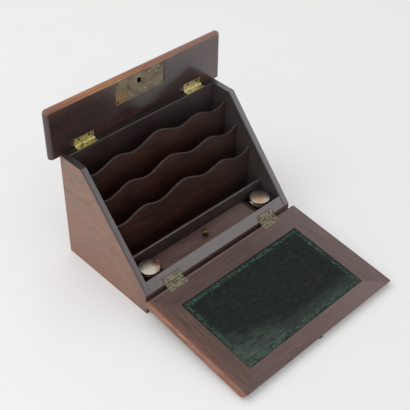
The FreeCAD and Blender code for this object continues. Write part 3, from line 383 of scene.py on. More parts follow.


# The finishes and their colours

woodLooks = {
    "caseWood": {
        "dark": paint(124, 88, 70),
        "middle": paint(141, 107, 91),
        "light": paint(158, 121, 105),
        "patch": paint(150, 106, 92),
        "blotch": paint(112, 107, 94),
        "blotchy": 0.6,
        "grain": (0.03, 0.006),
        "wavy": 1.6,
        "turn": (0, 0, 90),
        "rough": (0.42, 0.6),
        "pores": 0.2,
        "drifts": [
            {"axis": "Z", "start": 0.12, "end": 0.0, "to": paint(138, 98, 78), "most": 0.5},
            {"axis": "Y", "start": -0.05, "end": -0.1, "to": paint(112, 92, 84), "most": 0.7},
        ],
    },
    # Painted sheen: the grey-purple that the sides' sloping front edges show as they face up to the light,
    # lighter towards the right.
    "sheenEdgeWood": {
        "dark": paint(80, 73, 74),
        "middle": paint(94, 86, 87),
        "light": paint(106, 98, 99),
        "patch": paint(92, 88, 91),
        "rough": (0.3, 0.42),
        "polish": 0.8,
        "turn": (0, 0, 90),
        "grain": (0.06, 0.002),
        "drifts": [{"axis": "X", "start": -0.12, "end": 0.15, "to": paint(110, 107, 109), "most": 0.8}],
        "lines": [
            {"place": -0.1573, "half": 0.0017, "tone": paint(58, 42, 38), "most": 0.75},
            {"place": 0.1493, "half": 0.0016, "tone": paint(48, 42, 42), "most": 0.8},
        ],
    },
    # Painted sheen: the grey of the sides' flat tops, lighter towards the right and darker towards the back.
    "sheenLevelWood": {
        "dark": paint(46, 41, 40),
        "middle": paint(58, 52, 51),
        "light": paint(70, 63, 62),
        "patch": paint(54, 50, 50),
        "rough": (0.28, 0.4),
        "polish": 1.0,
        "turn": (0, 0, 90),
        "drifts": [
            {"axis": "X", "start": -0.1, "end": 0.15, "to": paint(88, 84, 86), "most": 0.8},
            {"axis": "Y", "start": 0.055, "end": 0.1, "to": paint(38, 33, 31), "most": 0.7},
        ],
    },
    # Painted sheen: the grey-purple of the rail's sloping top, in paler patches and lighter towards the left.
    "sheenRailWood": {
        "dark": paint(84, 75, 74),
        "middle": paint(98, 89, 88),
        "light": paint(108, 99, 98),
        "patch": paint(94, 88, 90),
        "blotch": paint(120, 113, 115),
        "blotchy": 0.5,
        "rough": (0.3, 0.42),
        "polish": 0.8,
        "grain": (0.1, 0.0025),
        "drifts": [
            {"axis": "X", "start": -0.14, "end": -0.03, "to": paint(112, 104, 104), "most": 0.8},
        ],
    },
    # Painted shade: dark red-brown for the case's front faces under the fall and for the sides' back and bottom
    # arrises.
    "shadedFaceWood": {
        "dark": paint(78, 56, 50),
        "middle": paint(92, 69, 63),
        "light": paint(104, 80, 72),
        "patch": paint(84, 62, 58),
        "rough": (0.4, 0.55),
    },
    # Painted shade: dark red-brown for the rail's lower arrises, by the gap above the fall.
    "shadedRailArris": {
        "dark": paint(70, 58, 55),
        "middle": paint(84, 70, 66),
        "light": paint(94, 80, 76),
        "patch": paint(76, 64, 62),
        "rough": (0.4, 0.55),
    },
    # Rubbed arrises, lighter both from wear and from a painted highlight.
    "wornLitEdge": {
        "dark": paint(120, 98, 90),
        "middle": paint(146, 122, 112),
        "light": paint(164, 140, 130),
        "patch": paint(124, 106, 100),
        "rough": (0.35, 0.5),
    },
    # Painted highlight: a pale line along the pen partition's top arris, darker towards its right end.
    "highlightLine": {
        "dark": paint(104, 96, 90),
        "middle": paint(132, 122, 115),
        "light": paint(150, 140, 132),
        "patch": paint(110, 102, 97),
        "rough": (0.35, 0.5),
        "drifts": [{"axis": "X", "start": 0.08, "end": 0.15, "to": paint(70, 62, 58), "most": 0.7}],
    },
    # Painted highlight: a pale line along the back panel's front top arris, darker towards its right end.
    "panelHighlightLine": {
        "dark": paint(78, 70, 65),
        "middle": paint(98, 88, 82),
        "light": paint(114, 104, 97),
        "patch": paint(82, 74, 70),
        "rough": (0.35, 0.5),
        "drifts": [{"axis": "X", "start": 0.08, "end": 0.15, "to": paint(70, 62, 58), "most": 0.7}],
    },
    "innerWood": {
        "dark": paint(32, 23, 22),
        "middle": paint(48, 37, 35),
        "light": paint(66, 50, 46),
        "patch": paint(44, 36, 36),
        "blotch": paint(76, 54, 48),
        "blotchy": 0.35,
        "rough": (0.36, 0.5),
        "grain": (0.1, 0.004),
        "wavy": 0.8,
        "drifts": [{"axis": "X", "start": 0.03, "end": 0.15, "to": paint(74, 66, 65), "most": 0.75}],
    },
    # Painted shade: near black for the back panel's top face, in shade under the lid, and for the joint in the
    # lid's inner face.
    "shadeTopWood": {
        "dark": paint(26, 21, 19),
        "middle": paint(36, 30, 28),
        "light": paint(48, 40, 38),
        "patch": paint(34, 30, 28),
        "rough": (0.36, 0.5),
    },
    "dividerWood": {
        "dark": paint(27, 17, 14),
        "middle": paint(46, 27, 22),
        "light": paint(82, 46, 35),
        "patch": paint(36, 25, 22),
        "blotch": paint(76, 43, 33),
        "blotchy": 0.4,
        "rough": (0.34, 0.48),
        "grain": (0.07, 0.004),
        "wavy": 0.9,
        "drifts": [{"axis": "X", "start": 0.05, "end": 0.15, "to": paint(64, 51, 49), "most": 0.7}],
    },
    "dividerTop": {
        "dark": paint(52, 38, 35),
        "middle": paint(64, 48, 44),
        "light": paint(78, 58, 52),
        "patch": paint(56, 44, 42),
        "rough": (0.38, 0.52),
    },
    # The dividers' front arris, lighter both from wear and from a painted highlight.
    "dividerWornLitEdge": {
        "dark": paint(104, 84, 78),
        "middle": paint(126, 104, 97),
        "light": paint(142, 118, 110),
        "patch": paint(104, 86, 82),
        "rough": (0.38, 0.52),
    },
    "coverWood": {
        "dark": paint(78, 56, 52),
        "middle": paint(92, 68, 63),
        "light": paint(106, 80, 73),
        "patch": paint(76, 58, 55),
        "blotch": paint(68, 50, 47),
        "blotchy": 0.6,
        "rough": (0.36, 0.5),
        "grain": (0.07, 0.005),
        "wavy": 0.8,
        "drifts": [{"axis": "X", "start": -0.02, "end": 0.08, "to": paint(108, 90, 84), "most": 0.7}],
    },
    # Towards the right the polished face turns purple-grey: a painted reflection. Just below the top edge it
    # turns lighter and warmer.
    "lidWood": {
        "dark": paint(26, 15, 13),
        "middle": paint(45, 28, 25),
        "light": paint(80, 46, 38),
        "patch": paint(38, 27, 26),
        "blotch": paint(62, 41, 36),
        "blotchy": 0.45,
        "rough": (0.26, 0.38),
        "polish": 1.0,
        "polishRough": 0.13,
        "grain": (0.08, 0.004),
        "wavy": 0.9,
        "ripple": 0.45,
        "drifts": [
            {"axis": "X", "start": 0.06, "end": 0.17, "to": paint(78, 58, 56), "most": 0.8},
            {"axis": "Z", "start": 0.262, "end": 0.276, "to": paint(84, 56, 44), "most": 0.55},
        ],
    },
    "lidEdge": {
        "dark": paint(128, 76, 54),
        "middle": paint(158, 104, 72),
        "light": paint(186, 134, 84),
        "patch": paint(150, 92, 72),
        "rough": (0.25, 0.4),
        "grain": (0.06, 0.0022),
        "drifts": [
            {"axis": "X", "start": -0.06, "end": 0.1, "to": paint(132, 100, 92), "most": 0.85},
            {"axis": "X", "start": -0.12, "end": -0.17, "to": paint(122, 90, 76), "most": 0.8},
        ],
    },
    # Painted sheen: the grey-purple of the lid's rounded top edge where it faces back.
    "lidSheenBackEdge": {
        "dark": paint(96, 70, 64),
        "middle": paint(116, 90, 82),
        "light": paint(132, 104, 94),
        "patch": paint(108, 90, 88),
        "rough": (0.28, 0.42),
        "grain": (0.06, 0.0022),
    },
    # Painted highlight: orange along the front of the lid's rounded top edge, duller towards both ends.
    "lidHighlightArris": {
        "dark": paint(132, 88, 60),
        "middle": paint(174, 126, 86),
        "light": paint(210, 160, 104),
        "patch": paint(150, 104, 84),
        "rough": (0.28, 0.42),
        "grain": (0.03, 0.0022),
        "drifts": [
            {"axis": "X", "start": -0.04, "end": 0.1, "to": paint(126, 100, 94), "most": 0.85},
            {"axis": "X", "start": -0.11, "end": -0.16, "to": paint(110, 82, 70), "most": 0.85},
        ],
    },
    "lidEnd": {
        "dark": paint(68, 55, 56),
        "middle": paint(86, 71, 72),
        "light": paint(100, 85, 84),
        "patch": paint(78, 66, 67),
        "rough": (0.3, 0.42),
        "turn": (0, 90, 0),
    },
    "fallWood": {
        "dark": paint(70, 48, 43),
        "middle": paint(90, 65, 58),
        "light": paint(108, 78, 68),
        "patch": paint(84, 64, 61),
        "rough": (0.3, 0.42),
        "turn": (0, 0, 90),
        "grain": (0.1, 0.003),
    },
    # Painted highlight: the bright orange of the fall's left rounded end.
    "litBullnoseWood": {
        "dark": paint(112, 74, 58),
        "middle": paint(142, 98, 78),
        "light": paint(176, 124, 92),
        "patch": paint(128, 88, 74),
        "rough": (0.26, 0.4),
        "turn": (0, 0, 90),
        "grain": (0.05, 0.0025),
    },
    # Painted shade: the fall's right rounded end and the strip along its free edge.
    "shadedBullnose": {
        "dark": paint(70, 56, 53),
        "middle": paint(88, 73, 70),
        "light": paint(102, 86, 82),
        "patch": paint(80, 68, 67),
        "rough": (0.3, 0.42),
        "turn": (0, 0, 90),
    },
    # Painted highlight: a light reddish line along the fall board's arrises.
    "litRedArris": {
        "dark": paint(126, 88, 76),
        "middle": paint(154, 114, 100),
        "light": paint(170, 130, 114),
        "patch": paint(132, 100, 92),
        "rough": (0.32, 0.44),
    },
    "hingeBand": {
        "dark": paint(62, 43, 39),
        "middle": paint(77, 57, 51),
        "light": paint(92, 68, 60),
        "patch": paint(70, 54, 50),
        "rough": (0.3, 0.4),
        "grain": (0.06, 0.004),
        "wavy": 0.8,
        "drifts": [{"axis": "X", "start": 0.03, "end": 0.17, "to": paint(104, 86, 84), "most": 0.9}],
    },
    # Painted highlight: a lighter strip a little in from the hinge edge of the fall's border.
    "highlightBand": {
        "dark": paint(82, 62, 57),
        "middle": paint(102, 80, 73),
        "light": paint(118, 94, 85),
        "patch": paint(92, 72, 67),
        "rough": (0.3, 0.4),
        "grain": (0.05, 0.003),
    },
    "edgeShade": {
        "dark": paint(48, 30, 27),
        "middle": paint(60, 42, 37),
        "light": paint(70, 51, 46),
        "patch": paint(54, 38, 34),
        "rough": (0.4, 0.5),
    },
    "freeBand": {
        "dark": paint(76, 57, 53),
        "middle": paint(94, 74, 70),
        "light": paint(110, 86, 79),
        "patch": paint(86, 70, 68),
        "rough": (0.3, 0.4),
        "grain": (0.06, 0.004),
        "wavy": 0.8,
        "drifts": [{"axis": "X", "start": -0.04, "end": 0.12, "to": paint(112, 94, 92), "most": 0.9}],
    },
    "leftBandWood": {
        "dark": paint(66, 44, 38),
        "middle": paint(87, 62, 54),
        "light": paint(110, 80, 67),
        "patch": paint(80, 60, 55),
        "rough": (0.3, 0.42),
        "turn": (6.4, 0, 90),
        "grain": (0.07, 0.0035),
        "wavy": 0.6,
        "drifts": [
            {"axis": "X", "start": -0.152, "end": -0.164, "to": paint(124, 82, 68), "most": 0.75},
            {"axis": "Y", "start": -0.22, "end": -0.31, "to": paint(100, 76, 70), "most": 0.6},
        ],
    },
    "rightBandWood": {
        "dark": paint(84, 66, 64),
        "middle": paint(98, 80, 78),
        "light": paint(110, 90, 86),
        "patch": paint(94, 80, 80),
        "rough": (0.3, 0.42),
        "turn": (6.4, 0, 90),
        "grain": (0.07, 0.0035),
        "wavy": 0.6,
        "drifts": [{"axis": "X", "start": 0.148, "end": 0.166, "to": paint(112, 92, 88), "most": 0.7}],
    },
}
metalLooks = {
    "brightBrass": {
        "bright": paint(226, 216, 158),
        "shade": paint(196, 186, 130),
        "tarnish": paint(128, 118, 82),
        "rough": (0.34, 0.5),
        "tarnished": (0.5, 0.68),
        "patchSize": 0.005,
        "spots": [{"middle": (98, 96, 210), "reach": 40, "tone": paint(222, 212, 172), "most": 0.6}],
    },
    "agedBrass": {
        "bright": paint(152, 146, 126),
        "shade": paint(128, 121, 102),
        "tarnish": paint(98, 90, 74),
        "rough": (0.42, 0.6),
        "tarnished": (0.46, 0.66),
        "patchSize": 0.005,
    },
    "agedScrew": {
        "bright": paint(142, 135, 114),
        "shade": paint(114, 107, 88),
        "tarnish": paint(80, 72, 60),
        "rough": (0.42, 0.6),
    },
    "lockBrass": {
        "bright": paint(158, 149, 126),
        "shade": paint(140, 130, 108),
        "tarnish": paint(124, 106, 88),
        "rough": (0.42, 0.55),
        "tarnished": (0.44, 0.7),
        "patchSize": 0.016,
        "spots": [
            {"middle": (-39, 96, 245), "reach": 17, "tone": paint(176, 140, 100), "most": 0.8},
            {"middle": (18, 96, 277), "reach": 11, "tone": paint(136, 106, 92), "most": 0.6},
        ],
    },
    "rivetBrass": {
        "bright": paint(226, 224, 214),
        "shade": paint(212, 208, 196),
        "tarnish": paint(184, 178, 162),
        "rough": (0.4, 0.5),
        "metal": 0.0,
    },
    "plateScrew": {
        "bright": paint(150, 138, 112),
        "shade": paint(124, 112, 90),
        "tarnish": paint(90, 76, 60),
        "rough": (0.42, 0.6),
    },
    "brightScrew": {
        "bright": paint(150, 138, 88),
        "shade": paint(112, 102, 62),
        "tarnish": paint(60, 52, 36),
        "rough": (0.4, 0.6),
    },
    "paleScrew": {
        "bright": paint(206, 196, 140),
        "shade": paint(172, 162, 112),
        "tarnish": paint(112, 102, 68),
        "rough": (0.4, 0.6),
    },
    "darkStud": {
        "bright": paint(84, 76, 66),
        "shade": paint(64, 56, 48),
        "tarnish": paint(42, 36, 31),
        "rough": (0.45, 0.65),
    },
    "dullSteel": {
        "bright": paint(120, 116, 108),
        "shade": paint(92, 88, 82),
        "tarnish": paint(62, 52, 44),
        "rough": (0.4, 0.6),
    },
    "knobBrass": {
        "bright": paint(140, 120, 84),
        "shade": paint(104, 86, 60),
        "tarnish": paint(56, 42, 32),
        "rough": (0.36, 0.52),
        "tarnished": (0.38, 0.58),
        "patchSize": 0.004,
    },
    "nickelCap": {
        "bright": paint(218, 211, 199),
        "shade": paint(188, 180, 166),
        "tarnish": paint(146, 122, 100),
        "rough": (0.3, 0.45),
        "tarnished": (0.5, 0.68),
        "patchSize": 0.008,
        "spots": [
            {"middle": (-107, -64, 52), "reach": 14, "tone": paint(138, 102, 78), "most": 0.9},
            {"middle": (-121, -47, 52), "reach": 9, "tone": paint(140, 118, 98), "most": 0.6},
            {"middle": (-116, -78, 50), "reach": 9, "tone": paint(150, 118, 92), "most": 0.6},
        ],
    },
    "copperCap": {
        "bright": paint(216, 208, 196),
        "shade": paint(192, 182, 168),
        "tarnish": paint(176, 156, 138),
        "rough": (0.3, 0.45),
        "tarnished": (0.4, 0.6),
        "patchSize": 0.014,
        "spots": [{"middle": (118, -65, 54), "reach": 13, "tone": paint(198, 154, 130), "most": 0.8}],
    },
    "capCollar": {
        "bright": paint(222, 206, 180),
        "shade": paint(190, 172, 146),
        "tarnish": paint(128, 104, 84),
        "rough": (0.35, 0.55),
        "patchSize": 0.006,
    },
}
woods = {name: makeWood(name, look) for name, look in woodLooks.items()}
metals = {name: makeMetal(name, look) for name, look in metalLooks.items()}


def makeGlass():
    material, tree, shader = startMaterial("inkGlass", Transmission_Weight=1.0, IOR=1.47)
    film = noise(tree, spaced(tree, (0, 0, 0), (0.006, 0.006, 0.012)), 4, 0.6)
    colour = ramp(tree, film, [(0.4, paint(206, 222, 212)), (0.7, paint(150, 172, 160))])
    wire(tree, colour, shader, "Base Color")
    wire(tree, span(tree, film, 0.4, 0.75, 0.04, 0.35), shader, "Roughness")
    return material


def makeSeal():
    material, tree, shader = startMaterial("capSeal", Roughness=0.8)
    grains = noise(tree, spaced(tree, (0, 0, 0), (0.001, 0.001, 0.001)), 4)
    wire(tree, ramp(tree, grains, [(0.3, paint(36, 24, 20)), (0.7, paint(66, 46, 36))]), shader, "Base Color")
    dent(tree, shader, grains, 0.1 * mm, 0.6)
    return material


inkGlass = makeGlass()
capSeal = makeSeal()
print("stage: finishes made")


# The case: boards whose arrises are rubbed round

caseBoards = {"arris": 0.9 * mm, "thinArris": 0.5 * mm, "lineArris": 0.8 * mm}


def facesUp(normal):
    return normal.z > 0.5


def nearPlace(value, place, reach=1.5 * mm):
    return abs(value - place) < reach


for name in ("left", "right"):
    node = "side_" + name
    board = fromNode(node, name + "Side")
    outward = -1 if name == "left" else 1
    low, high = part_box(node)
    softenEdges(board, caseBoards["arris"], 3, 3)
    finishes = ("caseWood", "sheenEdgeWood", "innerWood", "wornLitEdge", "sheenLevelWood", "shadedFaceWood")
    dress(board, *(woods[finish] for finish in finishes))
    # Faces that face up take painted sheen, the front faces and the back and bottom arrises painted shade, and
    # the outward top arrises a rubbed edge with a painted highlight.
    for face in board.data.polygons:
        atTop = nearPlace(face.center.z, high.z) or facesUp(face.normal)
        atFront = nearPlace(face.center.y, low.y)
        onArris = face.material_index == 3
        if onArris and (nearPlace(face.center.y, high.y) or nearPlace(face.center.z, low.z)):
            face.material_index = 5
        elif onArris and atTop and face.center.z < high.z - 2 * mm:
            face.material_index = 3 if face.normal.x * outward > 0.1 else 1
        elif face.normal.z > 0.9:
            face.material_index = 4
        elif facesUp(face.normal):
            face.material_index = 1
        elif atFront and face.normal.x * outward < 0.8:
            face.material_index = 5
        elif face.normal.x * outward < -0.5:
            face.material_index = 2
    settle(board, "case", [node])

rail = fromNode("front_board", "frontRail")
softenEdges(rail, caseBoards["arris"], 3, 2)
railLow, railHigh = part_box("front_board")
dress(rail, woods["sheenRailWood"], woods["innerWood"], woods["shadedRailArris"], woods["shadedFaceWood"])
# The rail's sloping top takes painted sheen, and its lower arrises and its front face painted shade.
paintFaces(rail, 1, lambda normal, middle: normal.y > 0.5)
paintFaces(rail, 0, lambda normal, middle: nearPlace(middle.z, railHigh.z) and normal.z > 0.5)
paintFaces(rail, 3, lambda normal, middle: normal.y < -0.9)
settle(rail, "case", ["front_board"])

back = fromNode("back_panel", "backPanel")
backLow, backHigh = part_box("back_panel")
softenEdges(back, caseBoards["lineArris"], 2, 1)
dress(back, woods["innerWood"], woods["shadeTopWood"], woods["caseWood"], woods["panelHighlightLine"])
paintFaces(back, 2, lambda normal, middle: normal.y > 0.9 and middle.y > 0.09)
# The top face takes painted shade, and the sloping arris at its front top a painted highlight.
paintFaces(back, 1, lambda normal, middle: middle.z > backHigh.z - tiny)
for face in back.data.polygons:
    sloping = face.normal.y < -0.2 and face.normal.z > 0.2
    if sloping and nearPlace(face.center.y, backLow.y) and nearPlace(face.center.z, backHigh.z):
        face.material_index = 3
settle(back, "case", ["back_panel"])

innerBoards = {
    "base_board": "baseBoard",
    "pen_partition": "penPartition",
    "inkwell_partition_left": "leftWellPartition",
    "inkwell_partition_right": "rightWellPartition",
    "well_lining_left": "leftWellLining",
    "well_lining_right": "rightWellLining",
    "cover_ledge_left": "leftCoverLedge",
    "cover_ledge_right": "rightCoverLedge",
}
for node, name in innerBoards.items():
    board = fromNode(node, name)
    low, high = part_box(node)
    lined = node == "pen_partition"
    softenEdges(board, caseBoards["lineArris" if lined else "thinArris"], 2, 1)
    dress(board, woods["innerWood"], woods["dividerTop"], woods["highlightLine"])
    # On the pen partition, the sloping arris at the front top takes a painted highlight.
    for face in board.data.polygons:
        sloping = face.normal.y < -0.2 and face.normal.z > 0.2
        if lined and sloping and nearPlace(face.center.y, low.y) and nearPlace(face.center.z, high.z):
            face.material_index = 2
        elif node.startswith("inkwell_partition") and face.normal.z > 0.5 and face.center.z > high.z - mm:
            face.material_index = 1
    settle(board, "case", [node])

for node, name in (("divider_rear", "rearDivider"), ("divider_middle", "middleDivider"), ("divider_front", "frontDivider")):
    board = fromNode(node, name)
    low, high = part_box(node)
    softenEdges(board, 0.9 * mm, 3, 1, 50)
    dress(board, woods["dividerWood"], woods["dividerWornLitEdge"], woods["dividerTop"])
    # Only the front arris keeps the lighter edge, rubbed and painted with a highlight; faces facing up take the
    # top finish.
    for face in board.data.polygons:
        if face.material_index == 1 and face.center.y > low.y + mm:
            face.material_index = 0
        elif face.material_index == 0 and face.normal.z > 0.4:
            face.material_index = 2
    settle(board, "case", [node], 50)
print("stage: case and dividers made")


# The pen cover and its turned knob

cover = fromNode("pen_cover", "penCover")
softenEdges(cover, 0.6 * mm, 2, 1)
# Its arrises are rubbed lighter and carry a painted highlight.
dress(cover, woods["coverWood"], woods["wornLitEdge"])
settle(cover, "pen_cover", ["pen_cover"])

knobShape = {
    "sides": 48,
    "foot": 4.5 * mm,
    "footTall": 1.5 * mm,
    "steps": [(-0.5, 0.3), (-1.3, 0.5), (-0.3, 1.8), (1.6, 0.9), (1.5, 0.9), (0.6, 1.1), (0.1, 0.9)],
    "crown": [(-0.5, 1.1), (-1.1, 0.9), (-1.5, 0.6), (-1.4, 0.3)],
}


def growRings(piece, start, steps):
    # From a round top face: each step draws a new ring up, and in or out.
    radius = start
    for across, up in steps:
        bpy.ops.mesh.extrude_region_move(TRANSFORM_OT_translate={"value": (0, 0, up * mm)})
        share = (radius + across * mm) / radius
        bpy.ops.transform.resize(value=(share, share, 1), center_override=ringCentre(piece))
        radius += across * mm
    return radius


def ringCentre(piece):
    bpy.ops.object.mode_set(mode="OBJECT")
    picked = [vertex.co for vertex in piece.data.vertices if vertex.select]
    bpy.ops.object.mode_set(mode="EDIT")
    return sum(picked, Vector()) / len(picked)


def makeKnob():
    low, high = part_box("cover_knob")
    middle = (low + high) / 2
    tall = knobShape["footTall"]
    bpy.ops.mesh.primitive_cylinder_add(
        vertices=knobShape["sides"],
        radius=knobShape["foot"],
        depth=tall,
        location=(middle.x, middle.y, low.z + tall / 2),
    )
    knob = placeInMesh(nameIt("coverKnob"))
    pickFaces(knob, lambda normal, spot: normal.z > 0.9)
    radius = growRings(knob, knobShape["foot"], knobShape["steps"])
    growRings(knob, radius, knobShape["crown"])
    stopEdit()
    softenEdges(knob, 0.2 * mm, 2, -1, 50)
    dress(knob, metals["knobBrass"])
    return settle(knob, "pen_cover", ["cover_knob"], 60)


deselectAll()
makeKnob()


# The inkwells: square glass, a turned collar and a domed cap

capShape = {
    "cut": 3.0,
    "radius": 17.25,
    "steps": [(0, 0.9), (-0.35, 0.7), (-0.75, 0.3), (-1.2, 0.2), (-1.6, 0.5), (-2.8, 0.55), (-3.3, 0.35), (-3.4, 0.2), (-2.2, 0.1)],
}


def makeCap(side, finish):
    # The crown is cut off above the hinge and drawn up again as a rim and a low dome.
    node = "ink_cap_" + side
    cap = fromNode(node, side + "InkCap")
    low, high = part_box(node)
    outer = low.x if side == "left" else high.x
    middleX = outer + capShape["radius"] * mm * (1 if side == "left" else -1)
    middle = Vector((middleX, (low.y + high.y) / 2, low.z + capShape["cut"] * mm))
    startEdit(cap, "SELECT")
    bpy.ops.mesh.bisect(plane_co=middle, plane_no=(0, 0, 1), use_fill=True, clear_outer=True)
    stopEdit()
    pickFaces(cap, lambda normal, spot: normal.z > 0.9 and spot.z > middle.z - tiny)
    radius = capShape["radius"]
    for across, up in capShape["steps"]:
        bpy.ops.mesh.extrude_region_move(TRANSFORM_OT_translate={"value": (0, 0, up * mm)})
        share = (radius + across) / radius
        bpy.ops.transform.resize(value=(share, share, 1), center_override=middle)
        radius += across
    stopEdit()
    softenEdges(cap, 0.15 * mm, 2, -1, 50)
    dress(cap, metals[finish])
    settle(cap, node, [node], 60)


def makeInkwell(side, finish):
    makeCap(side, finish)
    collar = fromNode("ink_collar_" + side, side + "InkCollar")
    softenEdges(collar, 0.35 * mm, 2, -1, 50)
    dress(collar, metals["capCollar"])
    settle(collar, "inkwell_" + side, ["ink_collar_" + side], 50)
    bottle = fromNode("ink_bottle_" + side, side + "InkBottle")
    softenEdges(bottle, 0.6 * mm, 3, -1, 50)
    dress(bottle, inkGlass)
    settle(bottle, "inkwell_" + side, ["ink_bottle_" + side], 50)


makeInkwell("left", "nickelCap")
makeInkwell("right", "copperCap")
print("stage: inkwells and pen cover made")


# The lid, with the lock let into its inner face

lid = fromNode("lid_board", "lidBoard")
# A thin strip at the joint beside the lock plate is cut out, to carry painted shade.
lidJoint = {"place": 51.5 * mm, "half": 0.85 * mm, "foot": 233 * mm}
for place in (lidJoint["place"] - lidJoint["half"], lidJoint["place"] + lidJoint["half"]):
    startEdit(lid, "SELECT")
    bpy.ops.mesh.bisect(plane_co=(place, 0, 0), plane_no=(1, 0, 0))
    stopEdit()
startEdit(lid, "SELECT")
bpy.ops.mesh.bisect(plane_co=(0, 0, lidJoint["foot"]), plane_no=(0, 0, 1))
stopEdit()
softenEdges(lid, 0.12 * mm, 2, -1, 60)
lidFinishes = ("lidWood", "lidEdge", "lidEnd", "lidSheenBackEdge", "caseWood", "lidHighlightArris", "shadeTopWood")
dress(lid, *(woods[finish] for finish in lidFinishes))
lidLow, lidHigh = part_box("lid_board")
lidRound = 6 * mm
# On the rounded top edge, faces towards the front take a painted highlight and faces towards the back painted
# sheen; the strip at the joint takes painted shade.
for face in lid.data.polygons:
    spot = face.center
    if spot.z > lidHigh.z - lidRound and spot.y < lidHigh.y - 2 * mm and face.normal.y > -0.98:
        if face.normal.y > 0.35:
            face.material_index = 3
        else:
            face.material_index = 5 if face.normal.y < -0.86 else 1
    elif abs(spot.x) > lidHigh.x - lidRound and face.normal.y > -0.98 and face.normal.y < 0.9:
        face.material_index = 2
    elif face.normal.y > 0.9 and spot.y > lidHigh.y - tiny:
        face.material_index = 4
    elif nearPlace(spot.x, lidJoint["place"], lidJoint["half"]) and spot.z > lidJoint["foot"]:
        face.material_index = 6
settle(lid, "lid", ["lid_board"], 30)

for node, name, width in (("lock_plate", "lockPlate", 0.25), ("key_escutcheon", "keyholePlate", 0.2)):
    plate = fromNode(node, name)
    softenEdges(plate, width * mm, 2, -1, 50)
    dress(plate, metals["lockBrass"])
    settle(plate, "lid", [node])

rivets = fromNode("lock_rivets", "lockRivets")
softenEdges(rivets, 0.3 * mm, 3, -1, 50)
dress(rivets, metals["rivetBrass"])
settle(rivets, "lid", ["lock_rivets"], 60)


# Hinges and screws

for which, finish, slotName in (("lid", "brightBrass", "hinge_brass"), ("fall", "agedBrass", "aged_brass")):
    for side in ("left", "right"):
        for part, body in (("case_leaf", "case"), ("leaf", which)):
            node = "%s_hinge_%s_%s" % (which, side, part)
            leaf = fromNode(node, node.replace("_hinge_", "Hinge").replace("_", ""))
            softenEdges(leaf, 0.2 * mm, 2, -1, 50)
            dress(leaf, metals[finish])
            settle(leaf, body, [node], 50)

screwShape = {"slotWide": 0.7 * mm, "slotDeep": 0.7 * mm}


def slotScrews(node, name, body, outward, finish):
    # Cuts a driver's slot across each head of a group, each turned its own way.
    group = fromNode(node, name)
    startEdit(group, "SELECT")
    bpy.ops.mesh.separate(type="LOOSE")
    stopEdit()
    screws = sorted(bpy.context.selected_objects, key=lambda screw: screw.data.vertices[0].co.x)
    outward = Vector(outward).normalized()
    for number, screw in enumerate(screws):
        reach = [vertex.co.dot(outward) for vertex in screw.data.vertices]
        top = max(reach)
        rim = [vertex.co for vertex in screw.data.vertices if vertex.co.dot(outward) > top - tiny]
        middle = sum(rim, Vector()) / len(rim)
        bpy.ops.mesh.primitive_cube_add(size=1, location=middle)
        cutter = bpy.context.object
        face = outward.to_track_quat("Z", "Y").to_matrix().to_4x4()
        spin = Matrix.Rotation(math.radians(20 + 67 * number), 4, "Z")
        size = Matrix.Diagonal((8 * mm, screwShape["slotWide"], 2 * screwShape["slotDeep"], 1))
        cutter.matrix_world = Matrix.Translation(middle) @ face @ spin @ size
        takeUp(screw)
        cut = screw.modifiers.new("slot", "BOOLEAN")
        cut.operation = "DIFFERENCE"
        cut.object = cutter
        bpy.ops.object.modifier_apply(modifier="slot")
        bpy.data.objects.remove(cutter)
    deselectAll()
    for screw in screws:
        screw.select_set(True)
    bpy.context.view_layer.objects.active = screws[0]
    bpy.ops.object.join()
    group = nameIt(name)
    dress(group, metals[finish])
    return settle(group, body, [node], 50)


slopeNormal = nodes["fall_hinge_left_case_leaf"].data.polygons[0].normal
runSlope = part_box("side_left")[1].z - slopeFoot.z
slopeUp = (0, -math.sin(math.radians(48.7)), math.cos(math.radians(48.7)))
fallUp = (0, -math.sin(math.radians(6.43)), math.cos(math.radians(6.43)))
slotScrews("fall_hinge_case_screws", "fallHingeCaseScrews", "case", slopeUp, "agedScrew")
slotScrews("fall_hinge_leaf_screws", "fallHingeLeafScrews", "fall", fallUp, "agedScrew")
slotScrews("lid_hinge_case_screws", "lidHingeCaseScrews", "case", (0, 0, 1), "paleScrew")
slotScrews("lid_hinge_leaf_screws", "lidHingeLeafScrews", "lid", (0, -1, 0), "brightScrew")
slotScrews("lock_plate_screws", "lockPlateScrews", "lid", (0, -1, 0), "plateScrew")
slotScrews("knob_screw", "knobScrew", "pen_cover", (0, 0, -1), "agedScrew")
print("stage: lid, lock, hinges and screws made")


# The fall: a board with rounded ends, a mitred border and the green inset

fallBoard = fromNode("fall_board", "fallBoard")
softenEdges(fallBoard, 0.5 * mm, 2, 1, 50)
dress(fallBoard, woods["fallWood"], woods["litRedArris"], woods["litBullnoseWood"], woods["shadedBullnose"])
fallLow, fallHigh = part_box("fall_board")
fallRound = 6 * mm
# The left rounded end takes a painted highlight, the right end and the strip along the free edge painted shade,
# and the other arrises a painted highlight.
paintFaces(fallBoard, 2, lambda normal, middle: middle.x < fallLow.x + fallRound)
paintFaces(fallBoard, 3, lambda normal, middle: middle.x > fallHigh.x - fallRound)
paintFaces(fallBoard, 3, lambda normal, middle: middle.y < fallLow.y + 2 * mm)
settle(fallBoard, "fall", ["fall_board"], 40)

